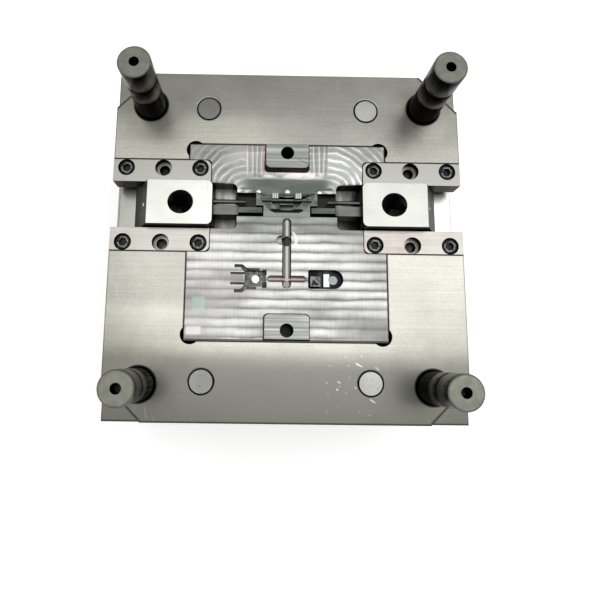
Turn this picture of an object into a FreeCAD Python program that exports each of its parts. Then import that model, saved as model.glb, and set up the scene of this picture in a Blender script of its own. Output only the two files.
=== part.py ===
"""Moving (core) half of a two-slide injection mould, standing on its clamp plate.

The parting plane faces up (+Z).  X runs along the slides' travel, Y across it.  The origin is
the centre of the clamp plate's underside.  Lengths are millimetres, angles are degrees.
"""
import FreeCAD, Part
import math
import os
import re
import Sketcher

# ---------------------------------------------------------------- driving sizes
SIZES = {
    # plates of the mould base
    "mould_width": 230.0,
    "mould_length": 230.0,
    "clamp_flange": 25.0,
    "clamp_thickness": 25.0,
    "spacer_width": 43.0,
    "spacer_height": 70.0,
    "plate_thickness": 60.0,
    "edge_break": 1.0,
    "pry_leg": 25.0,
    "pry_depth": 6.0,
    "knockout_radius": 15.0,
    # core insert in its pocket
    "insert_width": 130.0,
    "insert_length": 130.0,
    "insert_depth": 35.0,
    "insert_fit": 0.05,
    "insert_edge_break": 0.6,
    "relief_radius": 6.0,
    "relief_inset": 4.0,
    # guide pins
    "guide_inset": 23.0,
    "guide_radius": 10.0,
    "guide_head_radius": 12.5,
    "guide_head_height": 6.0,
    "guide_reach": 64.0,
    "guide_tip_chamfer": 1.0,
    "guide_bore_chamfer": 1.0,
    "guide_centre_radius": 3.0,
    "guide_centre_depth": 12.0,
    "oil_groove_low": 23.0,
    "oil_groove_high": 41.0,
    "oil_groove_width": 1.6,
    "oil_groove_depth": 0.5,
    # slides and the gibs that hold them down
    "slide_axis_y": 23.0,
    "slot_width": 62.0,
    "slot_depth": 24.0,
    "slot_corner_radius": 3.0,
    "gib_overlap": 15.0,
    "gib_gap": 31.0,
    "gib_fit": 0.05,
    "gib_corner_radius": 5.0,
    "gib_screw_end": 7.5,
    "gib_screw_outer": 8.5,
    "gib_screw_edge": 5.9,
    "slide_width": 29.0,
    "slide_rise": 8.5,
    "slide_length": 42.2,
    "slide_lead": 1.5,
    "slide_fit": 0.05,
    "slide_corner_radius": 3.5,
    "heel_angle": 22.0,
    "wing_height": 8.0,
    "wing_depth": 5.0,
    "wing_fit": 0.1,
    "angle_pin_bore_radius": 7.75,
    "angle_pin_tilt": 18.0,
    "angle_pin_offset": 19.0,
    "tip_pocket_length": 27.0,
    "tip_pocket_radius": 8.5,
    "tip_pocket_depth": 14.0,
    "tip_pocket_offset": 33.5,
    "jack_hole_radius": 2.1,
    "jack_hole_depth": 8.0,
    "detent_radius": 4.0,
    "detent_length": 14.0,
    "detent_ball_radius": 1.5,
    "detent_offset_x": 23.0,
    "detent_offset_y": 14.0,
    "dimple_radius": 2.0,
    "dimple_depth": 0.8,
    "slide_travel": 10.0,
    # noses of the slides and the pockets they run in
    "nose_pocket_depth": 17.0,
    "nose_pocket_end": 33.0,
    "nose_gap": 0.3,
    "tail_length": 10.0,
    "tail_top": 2.5,
    "tail_front": 6.1,
    "tail_back": 5.9,
    "blade_front": 6.1,
    "blade_back": 0.3,
    "blade_end": 32.0,
    "finger_front": 4.4,
    "finger_back": 0.6,
    "finger_end": 16.2,
    "finger_top": 1.2,
    "finger_depth": 8.0,
    "rod_radius": 1.5,
    "rod_offset": 3.6,
    "rod_sink": 4.6,
    "rod_end": 27.0,
    "core_dowel_radius": 2.0,
    "core_dowel_setback": 5.0,
    "core_dowel_length": 16.0,
    # moulding surfaces of the core insert
    "dish_depth": 5.0,
    "dish_floor_half": 28.5,
    "dish_floor_corner": 1.0,
    "dish_floor_back": 34.0,
    "dish_margin": 5.0,
    "window_front": 16.0,
    "window_back": 33.0,
    "window_depth": 12.0,
    "interlock_width": 31.0,
    "interlock_length": 18.5,
    "interlock_height": 5.0,
    "interlock_draft": 8.0,
    "interlock_corner": 3.0,
    "lifting_thread_radius": 4.25,
    "lifting_thread_depth": 25.0,
    "lifting_thread_inset": 7.0,
    # centre core between the two noses
    "centre_half": 20.3,
    "centre_front_half": 15.4,
    "centre_step_y": 24.0,
    "centre_top": 4.6,
    "centre_front_top": 2.6,
    "scoop_radius": 19.0,
    "scoop_y": 36.4,
    "scoop_depth": 6.0,
    "boat_radius": 11.8,
    "boat_y": 33.2,
    "boat_depth": 9.5,
    "boat_back": 27.4,
    "lug_offset": 7.5,
    "lug_width": 4.2,
    "lug_front": 28.6,
    "lug_back": 32.2,
    "lug_top": 1.2,
    "rail_width": 0.9,
    "rail_front": 27.6,
    "rail_rear": 31.6,
    "rail_height": 1.2,
    "bench_half": 16.5,
    "rib_half": 4.6,
    "rib_y": 25.0,
    "centre_screw_y": 20.0,
    "centre_screw_grip": 4.5,
    # runner, cold slug and the two side cavities
    "runner_half": 2.8,
    "runner_top": 12.0,
    "runner_foot": 28.2,
    "runner_depth": 3.0,
    "cross_y": 25.0,
    "cross_half": 12.3,
    "cross_radius": 2.0,
    "gate_radius": 0.6,
    "catch_reach": 6.6,
    "catch_y": 0.3,
    "catch_radius": 3.0,
    "clip_right": 13.5,
    "clip_left": 26.8,
    "clip_half": 5.0,
    "clip_depth": 3.5,
    "prong_end": 36.0,
    "prong_offset": 3.3,
    "prong_width": 1.1,
    "prong_depth": 2.5,
    "arm_offset": 8.1,
    "arm_width": 1.8,
    "arm_outer": 33.5,
    "arm_inner": 28.5,
    "arm_join": 22.5,
    "latch_left": 14.0,
    "latch_right": 36.4,
    "latch_half": 6.0,
    "latch_depth": 5.0,
    "latch_corner_radius": 1.2,
    "latch_block": 6.8,
    "latch_block_setback": 1.2,
    "latch_notch_depth": 1.6,
    "latch_block_drop": 0.9,
    "latch_bar_offset": 9.9,
    "latch_bar": 4.0,
    "latch_bar_drop": 2.6,
    # ejector set
    "ejector_gap": 2.0,
    "ejector_thickness": 20.0,
    "retainer_thickness": 15.0,
    "ejector_screw_inset_x": 12.0,
    "ejector_screw_inset_y": 55.0,
    "rest_height": 5.0,
    "rest_radius": 8.0,
    "rest_stem_radius": 4.0,
    "rest_stem_length": 10.0,
    "rest_inset_x": 25.0,
    "rest_inset_y": 40.0,
    "return_inset_x": 17.0,
    "return_inset_y": 25.0,
    "return_radius": 7.5,
    "return_head_radius": 10.0,
    "return_head_height": 8.0,
    "return_bore_gap": 0.4,
    "return_bore_chamfer": 0.6,
    "pin_head_extra": 2.0,
    "pin_head_height": 5.0,
    "pin_fit": 0.05,
    "pin_fit_length": 12.0,
    "pin_relief": 0.5,
    "clip_pin_x": 20.0,
    "clip_pin_radius": 2.5,
    "latch_pin_x": 30.4,
    "latch_pin_radius": 3.0,
    "runner_pin_radius": 2.0,
    "puller_radius": 3.0,
    "puller_sink": 5.0,
    "puller_hook": 3.5,
    "centre_pin_x": 12.6,
    "centre_pin_y": 26.0,
    "centre_pin_radius": 1.25,
    # return springs
    "spring_outer_radius": 14.0,
    "spring_wire_width": 4.2,
    "spring_wire_height": 2.4,
    "spring_turns": 7.0,
    "spring_pocket_radius": 15.0,
    "spring_pocket_depth": 25.0,
    # support pillars
    "pillar_inset": 25.0,
    "pillar_radius": 12.5,
    "pillar_gap": 1.5,
    # water channels and lifting holes in the sides of the core plate
    "water_margin": 9.0,
    "water_height": 15.0,
    "water_radius": 4.0,
    "water_port_radius": 5.9,
    "water_port_depth": 15.0,
    "eyebolt_radius": 5.1,
    "eyebolt_depth": 24.0,
    "eyebolt_height": 28.0,
    # socket head cap screws: thread, head and socket, and the holes they pass through
    "m5_radius": 2.5,
    "m5_head": 4.25,
    "m5_socket": 4.0,
    "m6_radius": 3.0,
    "m6_head": 5.0,
    "m6_socket": 5.0,
    "m8_radius": 4.0,
    "m8_head": 6.5,
    "m8_socket": 6.0,
    "m12_radius": 6.0,
    "m12_head": 9.0,
    "m12_socket": 10.0,
    "head_gap": 0.5,
    "head_sink": 1.0,
    "shank_gap": 0.5,
    "thread_gap": 0.05,
    "thread_grip": 8.0,
    "insert_screw_inset_x": 30.0,
    "insert_screw_inset_y": 13.0,
    "insert_screw_grip": 16.0,
    "mould_bolt_inset": 60.0,
    "mould_bolt_grip": 20.0,
    "spacer_screw_inset": 17.0,
    "spacer_screw_grip": 14.0,
}

doc = FreeCAD.newDocument("MouldCoreHalf")
sheet = doc.addObject("Spreadsheet::Sheet", "Sizes")
for row, (size_name, size_value) in enumerate(SIZES.items(), start=1):
    sheet.set(f"A{row}", size_name)
    sheet.set(f"B{row}", str(size_value))
    sheet.setAlias(f"B{row}", size_name)
doc.recompute()

# ---------------------------------------------------------------- levels and shared places
SPACER_BASE = "clamp_thickness"
PLATE_BASE = "(clamp_thickness + spacer_height)"
PARTING = "(clamp_thickness + spacer_height + plate_thickness)"
INSERT_BASE = f"({PARTING} - insert_depth)"
SLOT_FLOOR = f"({PARTING} - slot_depth)"
EJECTOR_BASE = "(clamp_thickness + rest_height)"
RETAINER_BASE = f"({EJECTOR_BASE} + ejector_thickness)"
RETAINER_TOP = f"({RETAINER_BASE} + retainer_thickness)"
POCKET_FLOOR = "(plate_thickness - insert_depth)"
SPACER_X = "((mould_width - spacer_width) / 2)"
EJECTOR_HALF = "(mould_width / 2 - spacer_width - ejector_gap)"
DISH_SPREAD = "(insert_length / 2 - dish_margin - dish_floor_back)"
WATER_X = "(insert_width / 2 + water_margin)"
GIB_START = "(insert_width / 2 - gib_overlap)"
GIB_LENGTH = f"(mould_width / 2 - {GIB_START})"
GIB_SCREW_PITCH = f"(({GIB_LENGTH} - gib_screw_end - gib_screw_outer) / 2)"
SLIDE_FRONT = f"({GIB_START} - slide_lead + slide_fit)"
SLIDE_HEIGHT = "(slot_depth + slide_rise - slide_fit)"
SLIDES = {"left": -1, "right": 1}
ENDS = {"front": -1, "back": 1}


def expand(expression):
    """Puts the sheet's name before every size that an expression names."""
    return re.sub(r"\b[a-z]+\d*(?:_[a-z]+)+\b", lambda found: "Sizes." + found.group(0), expression)


def value(expression):
    """The present value of an expression, for starting geometry and for choosing edges."""
    return float(sheet.evalExpression(expand(expression)))


def bind(item, prop, expression):
    item.setExpression(prop, expand(expression))


def corners(x, y):
    """The four places at plus and minus x and y."""
    return [(f"{sx} * {x}", f"{sy} * {y}") for sx in (-1, 1) for sy in (-1, 1)]


# ---------------------------------------------------------------- modelling helpers
def new_body(label, x="0", y="0", z="0"):
    body = doc.addObject("PartDesign::Body", label)
    body.Label = label
    body.AllowCompound = True
    for axis, place in zip("xyz", (x, y, z)):
        bind(body, f"Placement.Base.{axis}", place)
    return body


def new_sketch(body, name, height="0", plane="XY_Plane"):
    """A sketch parallel to one of the body's own origin planes, at a height along its normal."""
    sketch = body.newObject("Sketcher::SketchObject", f"{body.Name}_{name}_sketch")
    support = next(item for item in body.Origin.OriginFeatures if item.Role == plane)
    sketch.AttachmentSupport = (support, [""])
    sketch.MapMode = "FlatFace"
    bind(sketch, "AttachmentOffset.Base.z", height)
    return sketch


def fix_point(sketch, geometry, point, x, y):
    """Ties one point of a sketch to its two coordinates."""
    for kind, place in (("DistanceX", x), ("DistanceY", y)):
        index = sketch.addConstraint(Sketcher.Constraint(kind, -1, 1, geometry, point, value(place)))
        bind(sketch, f"Constraints[{index}]", place)


def add_circle(sketch, x, y, radius):
    centre = FreeCAD.Vector(value(x), value(y), 0)
    circle = sketch.addGeometry(Part.Circle(centre, FreeCAD.Vector(0, 0, 1), value(radius)), False)
    fix_point(sketch, circle, 3, x, y)
    index = sketch.addConstraint(Sketcher.Constraint("Radius", circle, value(radius)))
    bind(sketch, f"Constraints[{index}]", radius)


def add_polygon(sketch, points):
    places = [FreeCAD.Vector(value(x), value(y), 0) for x, y in points]
    lines = [sketch.addGeometry(Part.LineSegment(place, places[(i + 1) % len(places)]), False)
             for i, place in enumerate(places)]
    for i, line in enumerate(lines):
        following = lines[(i + 1) % len(lines)]
        sketch.addConstraint(Sketcher.Constraint("Coincident", line, 2, following, 1))
    for line, (x, y) in zip(lines, points):
        fix_point(sketch, line, 1, x, y)


def add_box(sketch, x0, y0, x1, y1):
    add_polygon(sketch, [(x0, y0), (x1, y0), (x1, y1), (x0, y1)])


def add_hexagon(sketch, x, y, across_flats):
    """A hexagon with a corner on each side along X."""
    corner = f"{across_flats} / 2 / cos(30)"
    add_polygon(sketch, [(f"{x} + {corner} * cos({turn})", f"{y} + {corner} * sin({turn})")
                         for turn in range(0, 360, 60)])


def add_obround(sketch, x0, x1, y, radius):
    """A slot along X with round ends, its end centres at x0 and x1."""
    ends = []
    for x, turn in ((x0, 90), (x1, 270)):
        centre = FreeCAD.Vector(value(x), value(y), 0)
        circle = Part.Circle(centre, FreeCAD.Vector(0, 0, 1), value(radius))
        arc = Part.ArcOfCircle(circle, math.radians(turn), math.radians(turn + 180))
        ends.append(sketch.addGeometry(arc, False))
        fix_point(sketch, ends[-1], 3, x, y)
    for first, second in ((ends[0], ends[1]), (ends[1], ends[0])):
        start = sketch.getPoint(first, 2)
        line = sketch.addGeometry(Part.LineSegment(start, sketch.getPoint(second, 1)), False)
        sketch.addConstraint(Sketcher.Constraint("Tangent", first, 2, line, 1))
        sketch.addConstraint(Sketcher.Constraint("Tangent", line, 2, second, 1))
    index = sketch.addConstraint(Sketcher.Constraint("Radius", ends[0], value(radius)))
    bind(sketch, f"Constraints[{index}]", radius)


def pad(body, sketch, length, down=False, symmetric=False, draft=None):
    feature = body.newObject("PartDesign::Pad", sketch.Name.replace("_sketch", "_pad"))
    feature.Profile = sketch
    feature.Reversed = down
    if symmetric:
        feature.SideType = "Symmetric"
    bind(feature, "Length", length)
    if draft:
        bind(feature, "TaperAngle", draft)
    doc.recompute()
    return feature


def pocket(body, sketch, depth, up=False, symmetric=False, draft=None):
    """Cuts a sketch into the body, downwards unless told otherwise, and checks that it cuts."""
    before = body.Shape.Volume
    feature = body.newObject("PartDesign::Pocket", sketch.Name.replace("_sketch", "_pocket"))
    feature.Profile = sketch
    feature.Reversed = up
    if symmetric:
        feature.SideType = "Symmetric"
    bind(feature, "Length", depth)
    if draft:
        bind(feature, "TaperAngle", draft)
    doc.recompute()
    if feature.Shape.Volume >= before:
        raise RuntimeError(f"{feature.Name} removes nothing")
    return feature


def drill(body, name, places, radius, height, depth, up=False):
    """Round holes cut down (or up) from one height."""
    sketch = new_sketch(body, name, height)
    for x, y in places:
        add_circle(sketch, x, y, radius)
    return pocket(body, sketch, depth, up)


def upright_edges(body, places, lean=1e-4):
    """Names of the rising edges whose ends both stand within a lean of a given place."""
    names = []
    targets = [(value(x), value(y)) for x, y in places]
    for number, edge in enumerate(body.Tip.Shape.Edges, start=1):
        ends = [vertex.Point for vertex in edge.Vertexes]
        if len(ends) < 2 or abs(ends[0].z - ends[1].z) < 1e-4:
            continue
        for x, y in targets:
            if all(math.hypot(end.x - x, end.y - y) < lean for end in ends):
                names.append(f"Edge{number}")
    return names


def dress(body, kind, names, size):
    """A fillet or chamfer on edges of the body's latest feature."""
    if not names:
        raise RuntimeError(f"{body.Name}: no edge to dress")
    base = body.Tip
    feature = body.newObject(f"PartDesign::{kind}", f"{body.Name}_{kind.lower()}")
    feature.Base = (base, names)
    bind(feature, "Radius" if kind == "Fillet" else "Size", size)
    doc.recompute()
    return feature


def rims(body, height, places, radius):
    """Names of the circular edges of one radius at one height and any of the given places."""
    targets = [(value(x), value(y)) for x, y in places]
    names = []
    for number, edge in enumerate(body.Tip.Shape.Edges, start=1):
        if not isinstance(edge.Curve, Part.Circle):
            continue
        centre = edge.Curve.Center
        level = abs(centre.z - value(height)) < 1e-4 and abs(edge.Curve.Radius - value(radius)) < 1e-4
        if level and any(math.hypot(centre.x - x, centre.y - y) < 1e-4 for x, y in targets):
            names.append(f"Edge{number}")
    return names


def turned(label, profile, x, y, z):
    """A round piece turned about its own upright axis from a profile of (radius, height)."""
    body = new_body(label, x, y, z)
    sketch = new_sketch(body, "profile", plane="XZ_Plane")
    add_polygon(sketch, profile)
    feature = body.newObject("PartDesign::Revolution", f"{label}_revolution")
    feature.Profile = sketch
    feature.ReferenceAxis = (sketch, ["V_Axis"])
    feature.Angle = 360.0
    doc.recompute()
    return body


def cap_screws(label, places, seat, grip, size, heads_up=False):
    """Socket head cap screws: heads on a seat, shanks running away from them by their grip."""
    body = new_body(label)
    head_height = f"2 * {size}_radius"
    shank = new_sketch(body, "shank", seat)
    head = new_sketch(body, "head", seat)
    sign = "+" if heads_up else "-"
    socket = new_sketch(body, "socket", f"{seat} {sign} {head_height}")
    for x, y in places:
        add_circle(shank, x, y, f"{size}_radius")
        add_circle(head, x, y, f"{size}_head")
        add_hexagon(socket, x, y, f"{size}_socket")
    pad(body, head, head_height, down=not heads_up)
    pad(body, shank, grip, down=heads_up)
    pocket(body, socket, f"{size}_radius", up=not heads_up)
    return body


def screw_holes(body, name, places, size, face, through, from_top=False):
    """Counterbored clearance holes for cap screws whose heads sink into one face."""
    depth = f"2 * {size}_radius + head_sink"
    drill(body, f"{name}_counterbore", places, f"{size}_head + head_gap", face, depth, not from_top)
    drill(body, f"{name}_hole", places, f"{size}_radius + shank_gap", face, through, not from_top)


# ---------------------------------------------------------------- places that pieces share
GUIDE_X = "(mould_width / 2 - guide_inset)"
GUIDE_Y = "(mould_length / 2 - guide_inset)"
RETURN_X = f"({EJECTOR_HALF} - return_inset_x)"
RETURN_Y = "(mould_length / 2 - return_inset_y)"
LIFTING_Y = "(insert_length / 2 - lifting_thread_inset)"
MOULD_BOLT_Y = "(mould_length / 2 - mould_bolt_inset)"
SPACER_SCREW_Y = "(mould_length / 2 - spacer_screw_inset)"
PILLAR_X = f"({EJECTOR_HALF} - pillar_inset)"
GUIDE_PLACES = corners(GUIDE_X, GUIDE_Y)
RETURN_PLACES = corners(RETURN_X, RETURN_Y)
INSERT_SCREWS = corners("(insert_width / 2 - insert_screw_inset_x)",
                        "(insert_length / 2 - insert_screw_inset_y)")
MOULD_BOLTS = corners(SPACER_X, MOULD_BOLT_Y)
SPACER_SCREWS = corners(SPACER_X, SPACER_SCREW_Y)
EJECTOR_SCREWS = corners(f"({EJECTOR_HALF} - ejector_screw_inset_x)",
                         "(mould_length / 2 - ejector_screw_inset_y)")
REST_PLACES = corners(f"({EJECTOR_HALF} - rest_inset_x)", "(mould_length / 2 - rest_inset_y)")
PILLAR_PLACES = [(f"-1 * {PILLAR_X}", "0"), (PILLAR_X, "0")]
CENTRE_PINS = [("-1 * centre_pin_x", "centre_pin_y"), ("centre_pin_x", "centre_pin_y")]
EJECTOR_PINS = {
    "ejector_pin_left": ([("-1 * clip_pin_x", "-1 * cross_y")], "clip_pin_radius", "clip_depth"),
    "ejector_pin_right": ([("latch_pin_x", "-1 * cross_y")], "latch_pin_radius", "latch_depth"),
    "runner_ejector_pin": ([("0", "-1 * runner_foot")], "runner_pin_radius", "runner_depth"),
    "centre_ejector_pins": (CENTRE_PINS, "centre_pin_radius", "scoop_depth"),
    "sprue_puller_pin": ([("0", "0")], "puller_radius", "puller_sink"),
}
GIB_SCREW_Y = "(slot_width / 2 - gib_screw_edge)"


def gib_screw_places(side, end, steps):
    """Screw places along one gib, counted from its inner end."""
    return [(f"{side} * ({GIB_START} + gib_screw_end + {step} * {GIB_SCREW_PITCH})",
             f"slide_axis_y + {end} * {GIB_SCREW_Y}") for step in steps]


GIB_PAIRS = [(side, end) for side in SLIDES.values() for end in ENDS.values()]
INNER_GIB_SCREWS = [place for side, end in GIB_PAIRS for place in gib_screw_places(side, end, [0])]
OUTER_GIB_SCREWS = [place for side, end in GIB_PAIRS for place in gib_screw_places(side, end, [2])]


# ---------------------------------------------------------------- plates of the mould base
def make_clamp_plate():
    body = new_body("bottom_clamp_plate")
    outline = new_sketch(body, "outline")
    half = "(mould_width / 2 + clamp_flange)"
    add_box(outline, f"-1 * {half}", "-1 * mould_length / 2", half, "mould_length / 2")
    pad(body, outline, "clamp_thickness")
    edges = upright_edges(body, corners(half, "mould_length / 2"))
    dress(body, "Chamfer", edges, "edge_break")
    drill(body, "knockout", [("0", "0")], "knockout_radius", "clamp_thickness", "clamp_thickness")
    screw_holes(body, "mould_bolt", MOULD_BOLTS, "m12", "0", "clamp_thickness")
    screw_holes(body, "spacer_screw", SPACER_SCREWS + PILLAR_PLACES, "m8", "0", "clamp_thickness")
    drill(body, "rest", REST_PLACES, "rest_stem_radius + thread_gap", "clamp_thickness",
          "rest_stem_length + thread_gap")


def make_spacer_block(name, side):
    body = new_body(f"spacer_block_{name}", x=f"{side} * {SPACER_X}", z=SPACER_BASE)
    outline = new_sketch(body, "outline")
    add_box(outline, "-1 * spacer_width / 2", "-1 * mould_length / 2",
            "spacer_width / 2", "mould_length / 2")
    pad(body, outline, "spacer_height")
    edges = upright_edges(body, corners("spacer_width / 2", "mould_length / 2"))
    dress(body, "Chamfer", edges, "edge_break")
    drill(body, "mould_bolt", [("0", f"-1 * {MOULD_BOLT_Y}"), ("0", MOULD_BOLT_Y)],
          "m12_radius + shank_gap", "spacer_height", "spacer_height")
    drill(body, "spacer_screw", [("0", f"-1 * {SPACER_SCREW_Y}"), ("0", SPACER_SCREW_Y)],
          "m8_radius + thread_gap", "0", "spacer_screw_grip + head_sink", up=True)


def cut_pry_notches(body):
    """Steps across the corners, where a bar goes in to open the mould."""
    sketch = new_sketch(body, "pry_notch", "plate_thickness")
    for x, y in corners("mould_width / 2", "mould_length / 2"):
        inward_x = f"{x} * (1 - 2 * pry_leg / mould_width)"
        inward_y = f"{y} * (1 - 2 * pry_leg / mould_length)"
        add_polygon(sketch, [(x, y), (inward_x, y), (x, inward_y)])
    pocket(body, sketch, "pry_depth")


def cut_insert_pocket(body):
    """The square pocket of the core insert, with a round relief at each corner."""
    square = new_sketch(body, "insert_pocket", "plate_thickness")
    add_box(square, "-1 * insert_width / 2", "-1 * insert_length / 2",
            "insert_width / 2", "insert_length / 2")
    pocket(body, square, "insert_depth")
    drill(body, "corner_relief", corners("(insert_width / 2 - relief_inset)",
                                         "(insert_length / 2 - relief_inset)"),
          "relief_radius", "plate_thickness", "insert_depth")


def cut_slide_slots(body):
    """The two slots of the slides, open to the sides, and what is sunk in their floors."""
    floor = "plate_thickness - slot_depth"
    slots = new_sketch(body, "slide_slot", "plate_thickness")
    for side in SLIDES.values():
        add_box(slots, f"{side} * (insert_width / 2 - relief_inset)", "slide_axis_y - slot_width / 2",
                f"{side} * mould_width / 2", "slide_axis_y + slot_width / 2")
    pocket(body, slots, "slot_depth")
    tips = new_sketch(body, "angle_pin_tip", floor)
    for side in SLIDES.values():
        middle = f"{side} * ({GIB_START} + tip_pocket_offset)"
        reach = "(tip_pocket_length / 2 - tip_pocket_radius)"
        add_obround(tips, f"{middle} - {reach}", f"{middle} + {reach}", "slide_axis_y",
                    "tip_pocket_radius")
    pocket(body, tips, "tip_pocket_depth")
    drill(body, "detent", detent_places(), "detent_radius + thread_gap", floor,
          "detent_length + thread_gap")
    drill(body, "gib_thread", OUTER_GIB_SCREWS, "m6_radius + thread_gap", floor,
          "thread_grip + head_sink")


def detent_places():
    return [(f"{side} * ({GIB_START} + detent_offset_x)", "slide_axis_y + detent_offset_y")
            for side in SLIDES.values()]


def cut_side_holes(body):
    """Water channels from end to end with tapped ports, and the eyebolt holes."""
    ends = new_sketch(body, "water", "mould_length / 2", plane="XZ_Plane")
    ports = new_sketch(body, "water_port", "mould_length / 2", plane="XZ_Plane")
    eyebolt = new_sketch(body, "eyebolt", "mould_length / 2", plane="XZ_Plane")
    back_ports = new_sketch(body, "back_port", "-1 * mould_length / 2", plane="XZ_Plane")
    back_eyebolt = new_sketch(body, "back_eyebolt", "-1 * mould_length / 2", plane="XZ_Plane")
    for side in SLIDES.values():
        place = (f"{side} * {WATER_X}", "water_height")
        add_circle(ends, *place, "water_radius")
        add_circle(ports, *place, "water_port_radius")
        add_circle(back_ports, *place, "water_port_radius")
    for sketch in (eyebolt, back_eyebolt):
        add_circle(sketch, "0", "eyebolt_height", "eyebolt_radius")
    pocket(body, ends, "mould_length")
    pocket(body, ports, "water_port_depth")
    pocket(body, back_ports, "water_port_depth", up=True)
    pocket(body, eyebolt, "eyebolt_depth")
    pocket(body, back_eyebolt, "eyebolt_depth", up=True)


def make_core_plate():
    body = new_body("core_plate", z=PLATE_BASE)
    outline = new_sketch(body, "outline")
    add_box(outline, "-1 * mould_width / 2", "-1 * mould_length / 2",
            "mould_width / 2", "mould_length / 2")
    pad(body, outline, "plate_thickness")
    cut_insert_pocket(body)
    cut_slide_slots(body)
    cut_pry_notches(body)
    drill(body, "guide", GUIDE_PLACES, "guide_radius", "plate_thickness", "plate_thickness")
    drill(body, "guide_head", GUIDE_PLACES, "guide_head_radius + head_gap", "0",
          "guide_head_height", up=True)
    drill(body, "return", RETURN_PLACES, "return_radius + return_bore_gap", "plate_thickness",
          "plate_thickness")
    drill(body, "spring", RETURN_PLACES, "spring_pocket_radius", "0", "spring_pocket_depth", up=True)
    screw_holes(body, "insert_screw", INSERT_SCREWS, "m8", "0", POCKET_FLOOR)
    drill(body, "mould_bolt", MOULD_BOLTS, "m12_radius + thread_gap", "0",
          "mould_bolt_grip + head_sink", up=True)
    for name, (places, radius, sink) in EJECTOR_PINS.items():
        drill(body, name, places, f"{radius} + pin_relief", "0", POCKET_FLOOR, up=True)
    cut_side_holes(body)
    names = rims(body, "plate_thickness", GUIDE_PLACES, "guide_radius")
    dress(body, "Chamfer", names, "guide_bore_chamfer")
    names = rims(body, "plate_thickness", RETURN_PLACES, "return_radius + return_bore_gap")
    dress(body, "Chamfer", names, "return_bore_chamfer")


# ---------------------------------------------------------------- core insert
def cut_dish(body):
    """The shallow dish behind the centre core: a drafted hollow with round back corners."""
    top = new_sketch(body, "dish_rim", "insert_depth")
    floor = new_sketch(body, "dish_floor", "insert_depth - dish_depth")
    for sketch, spread in ((top, DISH_SPREAD), (floor, "dish_floor_corner")):
        add_dish_outline(sketch, spread)
    before = body.Shape.Volume
    feature = body.newObject("PartDesign::SubtractiveLoft", f"{body.Name}_dish")
    feature.Profile = top
    feature.Sections = [floor]
    feature.Ruled = True
    doc.recompute()
    if feature.Shape.Volume >= before:
        raise RuntimeError("the dish removes nothing")


def add_dish_outline(sketch, spread):
    """Half of a rounded rectangle that opens forwards, its back corners round by the spread."""
    half, front, back = "dish_floor_half", "window_front", "dish_floor_back"
    side, top = f"({half} + {spread})", f"({back} + {spread})"
    right = add_corner_arc(sketch, (half, back), (side, back), (half, top), 0)
    left = add_corner_arc(sketch, (f"-1 * {half}", back), (f"-1 * {half}", top),
                          (f"-1 * {side}", back), 90)
    places = [FreeCAD.Vector(value(side), value(front), 0), sketch.getPoint(right, 1),
              sketch.getPoint(right, 2), sketch.getPoint(left, 1), sketch.getPoint(left, 2),
              FreeCAD.Vector(-value(side), value(front), 0)]
    rise, crown, fall, base = [
        sketch.addGeometry(Part.LineSegment(places[start], places[end]), False)
        for start, end in ((0, 1), (2, 3), (4, 5), (5, 0))]
    for first, first_end, second, second_end in (
            (rise, 2, right, 1), (right, 2, crown, 1), (crown, 2, left, 1), (left, 2, fall, 1),
            (fall, 2, base, 1), (base, 2, rise, 1)):
        sketch.addConstraint(Sketcher.Constraint("Coincident", first, first_end, second, second_end))
    fix_point(sketch, base, 1, f"-1 * {side}", front)
    fix_point(sketch, rise, 1, side, front)


def add_corner_arc(sketch, centre, start, end, turn):
    """A quarter circle, counter-clockwise from a start to an end."""
    middle = FreeCAD.Vector(value(centre[0]), value(centre[1]), 0)
    radius = math.hypot(value(start[0]) - middle.x, value(start[1]) - middle.y)
    circle = Part.Circle(middle, FreeCAD.Vector(0, 0, 1), radius)
    arc = sketch.addGeometry(
        Part.ArcOfCircle(circle, math.radians(turn), math.radians(turn + 90)), False)
    fix_point(sketch, arc, 3, *centre)
    fix_point(sketch, arc, 1, *start)
    kind, place = ("DistanceX", end[0]) if turn == 0 else ("DistanceY", end[1])
    index = sketch.addConstraint(Sketcher.Constraint(kind, -1, 1, arc, 2, value(place)))
    bind(sketch, f"Constraints[{index}]", place)
    return arc


def mill_slot(body, name, first, last, radius, depth):
    """A slot with round ends between two places that share their X or their Y."""
    (x0, y0), (x1, y1) = first, last
    sketch = new_sketch(body, name, "insert_depth")
    if x0 == x1:
        add_box(sketch, f"{x0} - {radius}", y0, f"{x0} + {radius}", y1)
    else:
        add_box(sketch, x0, f"{y0} - {radius}", x1, f"{y0} + {radius}")
    pocket(body, sketch, depth)
    drill(body, f"{name}_end", [first, last], radius, "insert_depth", depth)


def cut_runner(body):
    """The runner with its cold slug, the cross runner and gates, and the catch at the sprue."""
    mill_slot(body, "runner", ("0", "-1 * runner_foot"), ("0", "runner_top"),
              "runner_half", "runner_depth")
    cross = new_sketch(body, "cross_runner", "insert_depth")
    add_obround(cross, "-1 * cross_half + cross_radius", "cross_half - cross_radius",
                "-1 * cross_y", "cross_radius")
    pocket(body, cross, "runner_depth * 2 / 3")
    gates = new_sketch(body, "gates", "insert_depth")
    for start, end in (("cross_half", "latch_left"), ("-1 * cross_half", "-1 * clip_right")):
        inward = f"{start} * (1 - cross_radius / cross_half)"
        add_box(gates, inward, "-1 * cross_y - gate_radius", f"{end} * (1 + gate_radius / latch_left)",
                "-1 * cross_y + gate_radius")
    pocket(body, gates, "gate_radius")
    catch = new_sketch(body, "sprue_catch", "insert_depth")
    add_obround(catch, "-1 * catch_reach + catch_radius", "0", "catch_y", "catch_radius")
    pocket(body, catch, "runner_depth")


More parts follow.
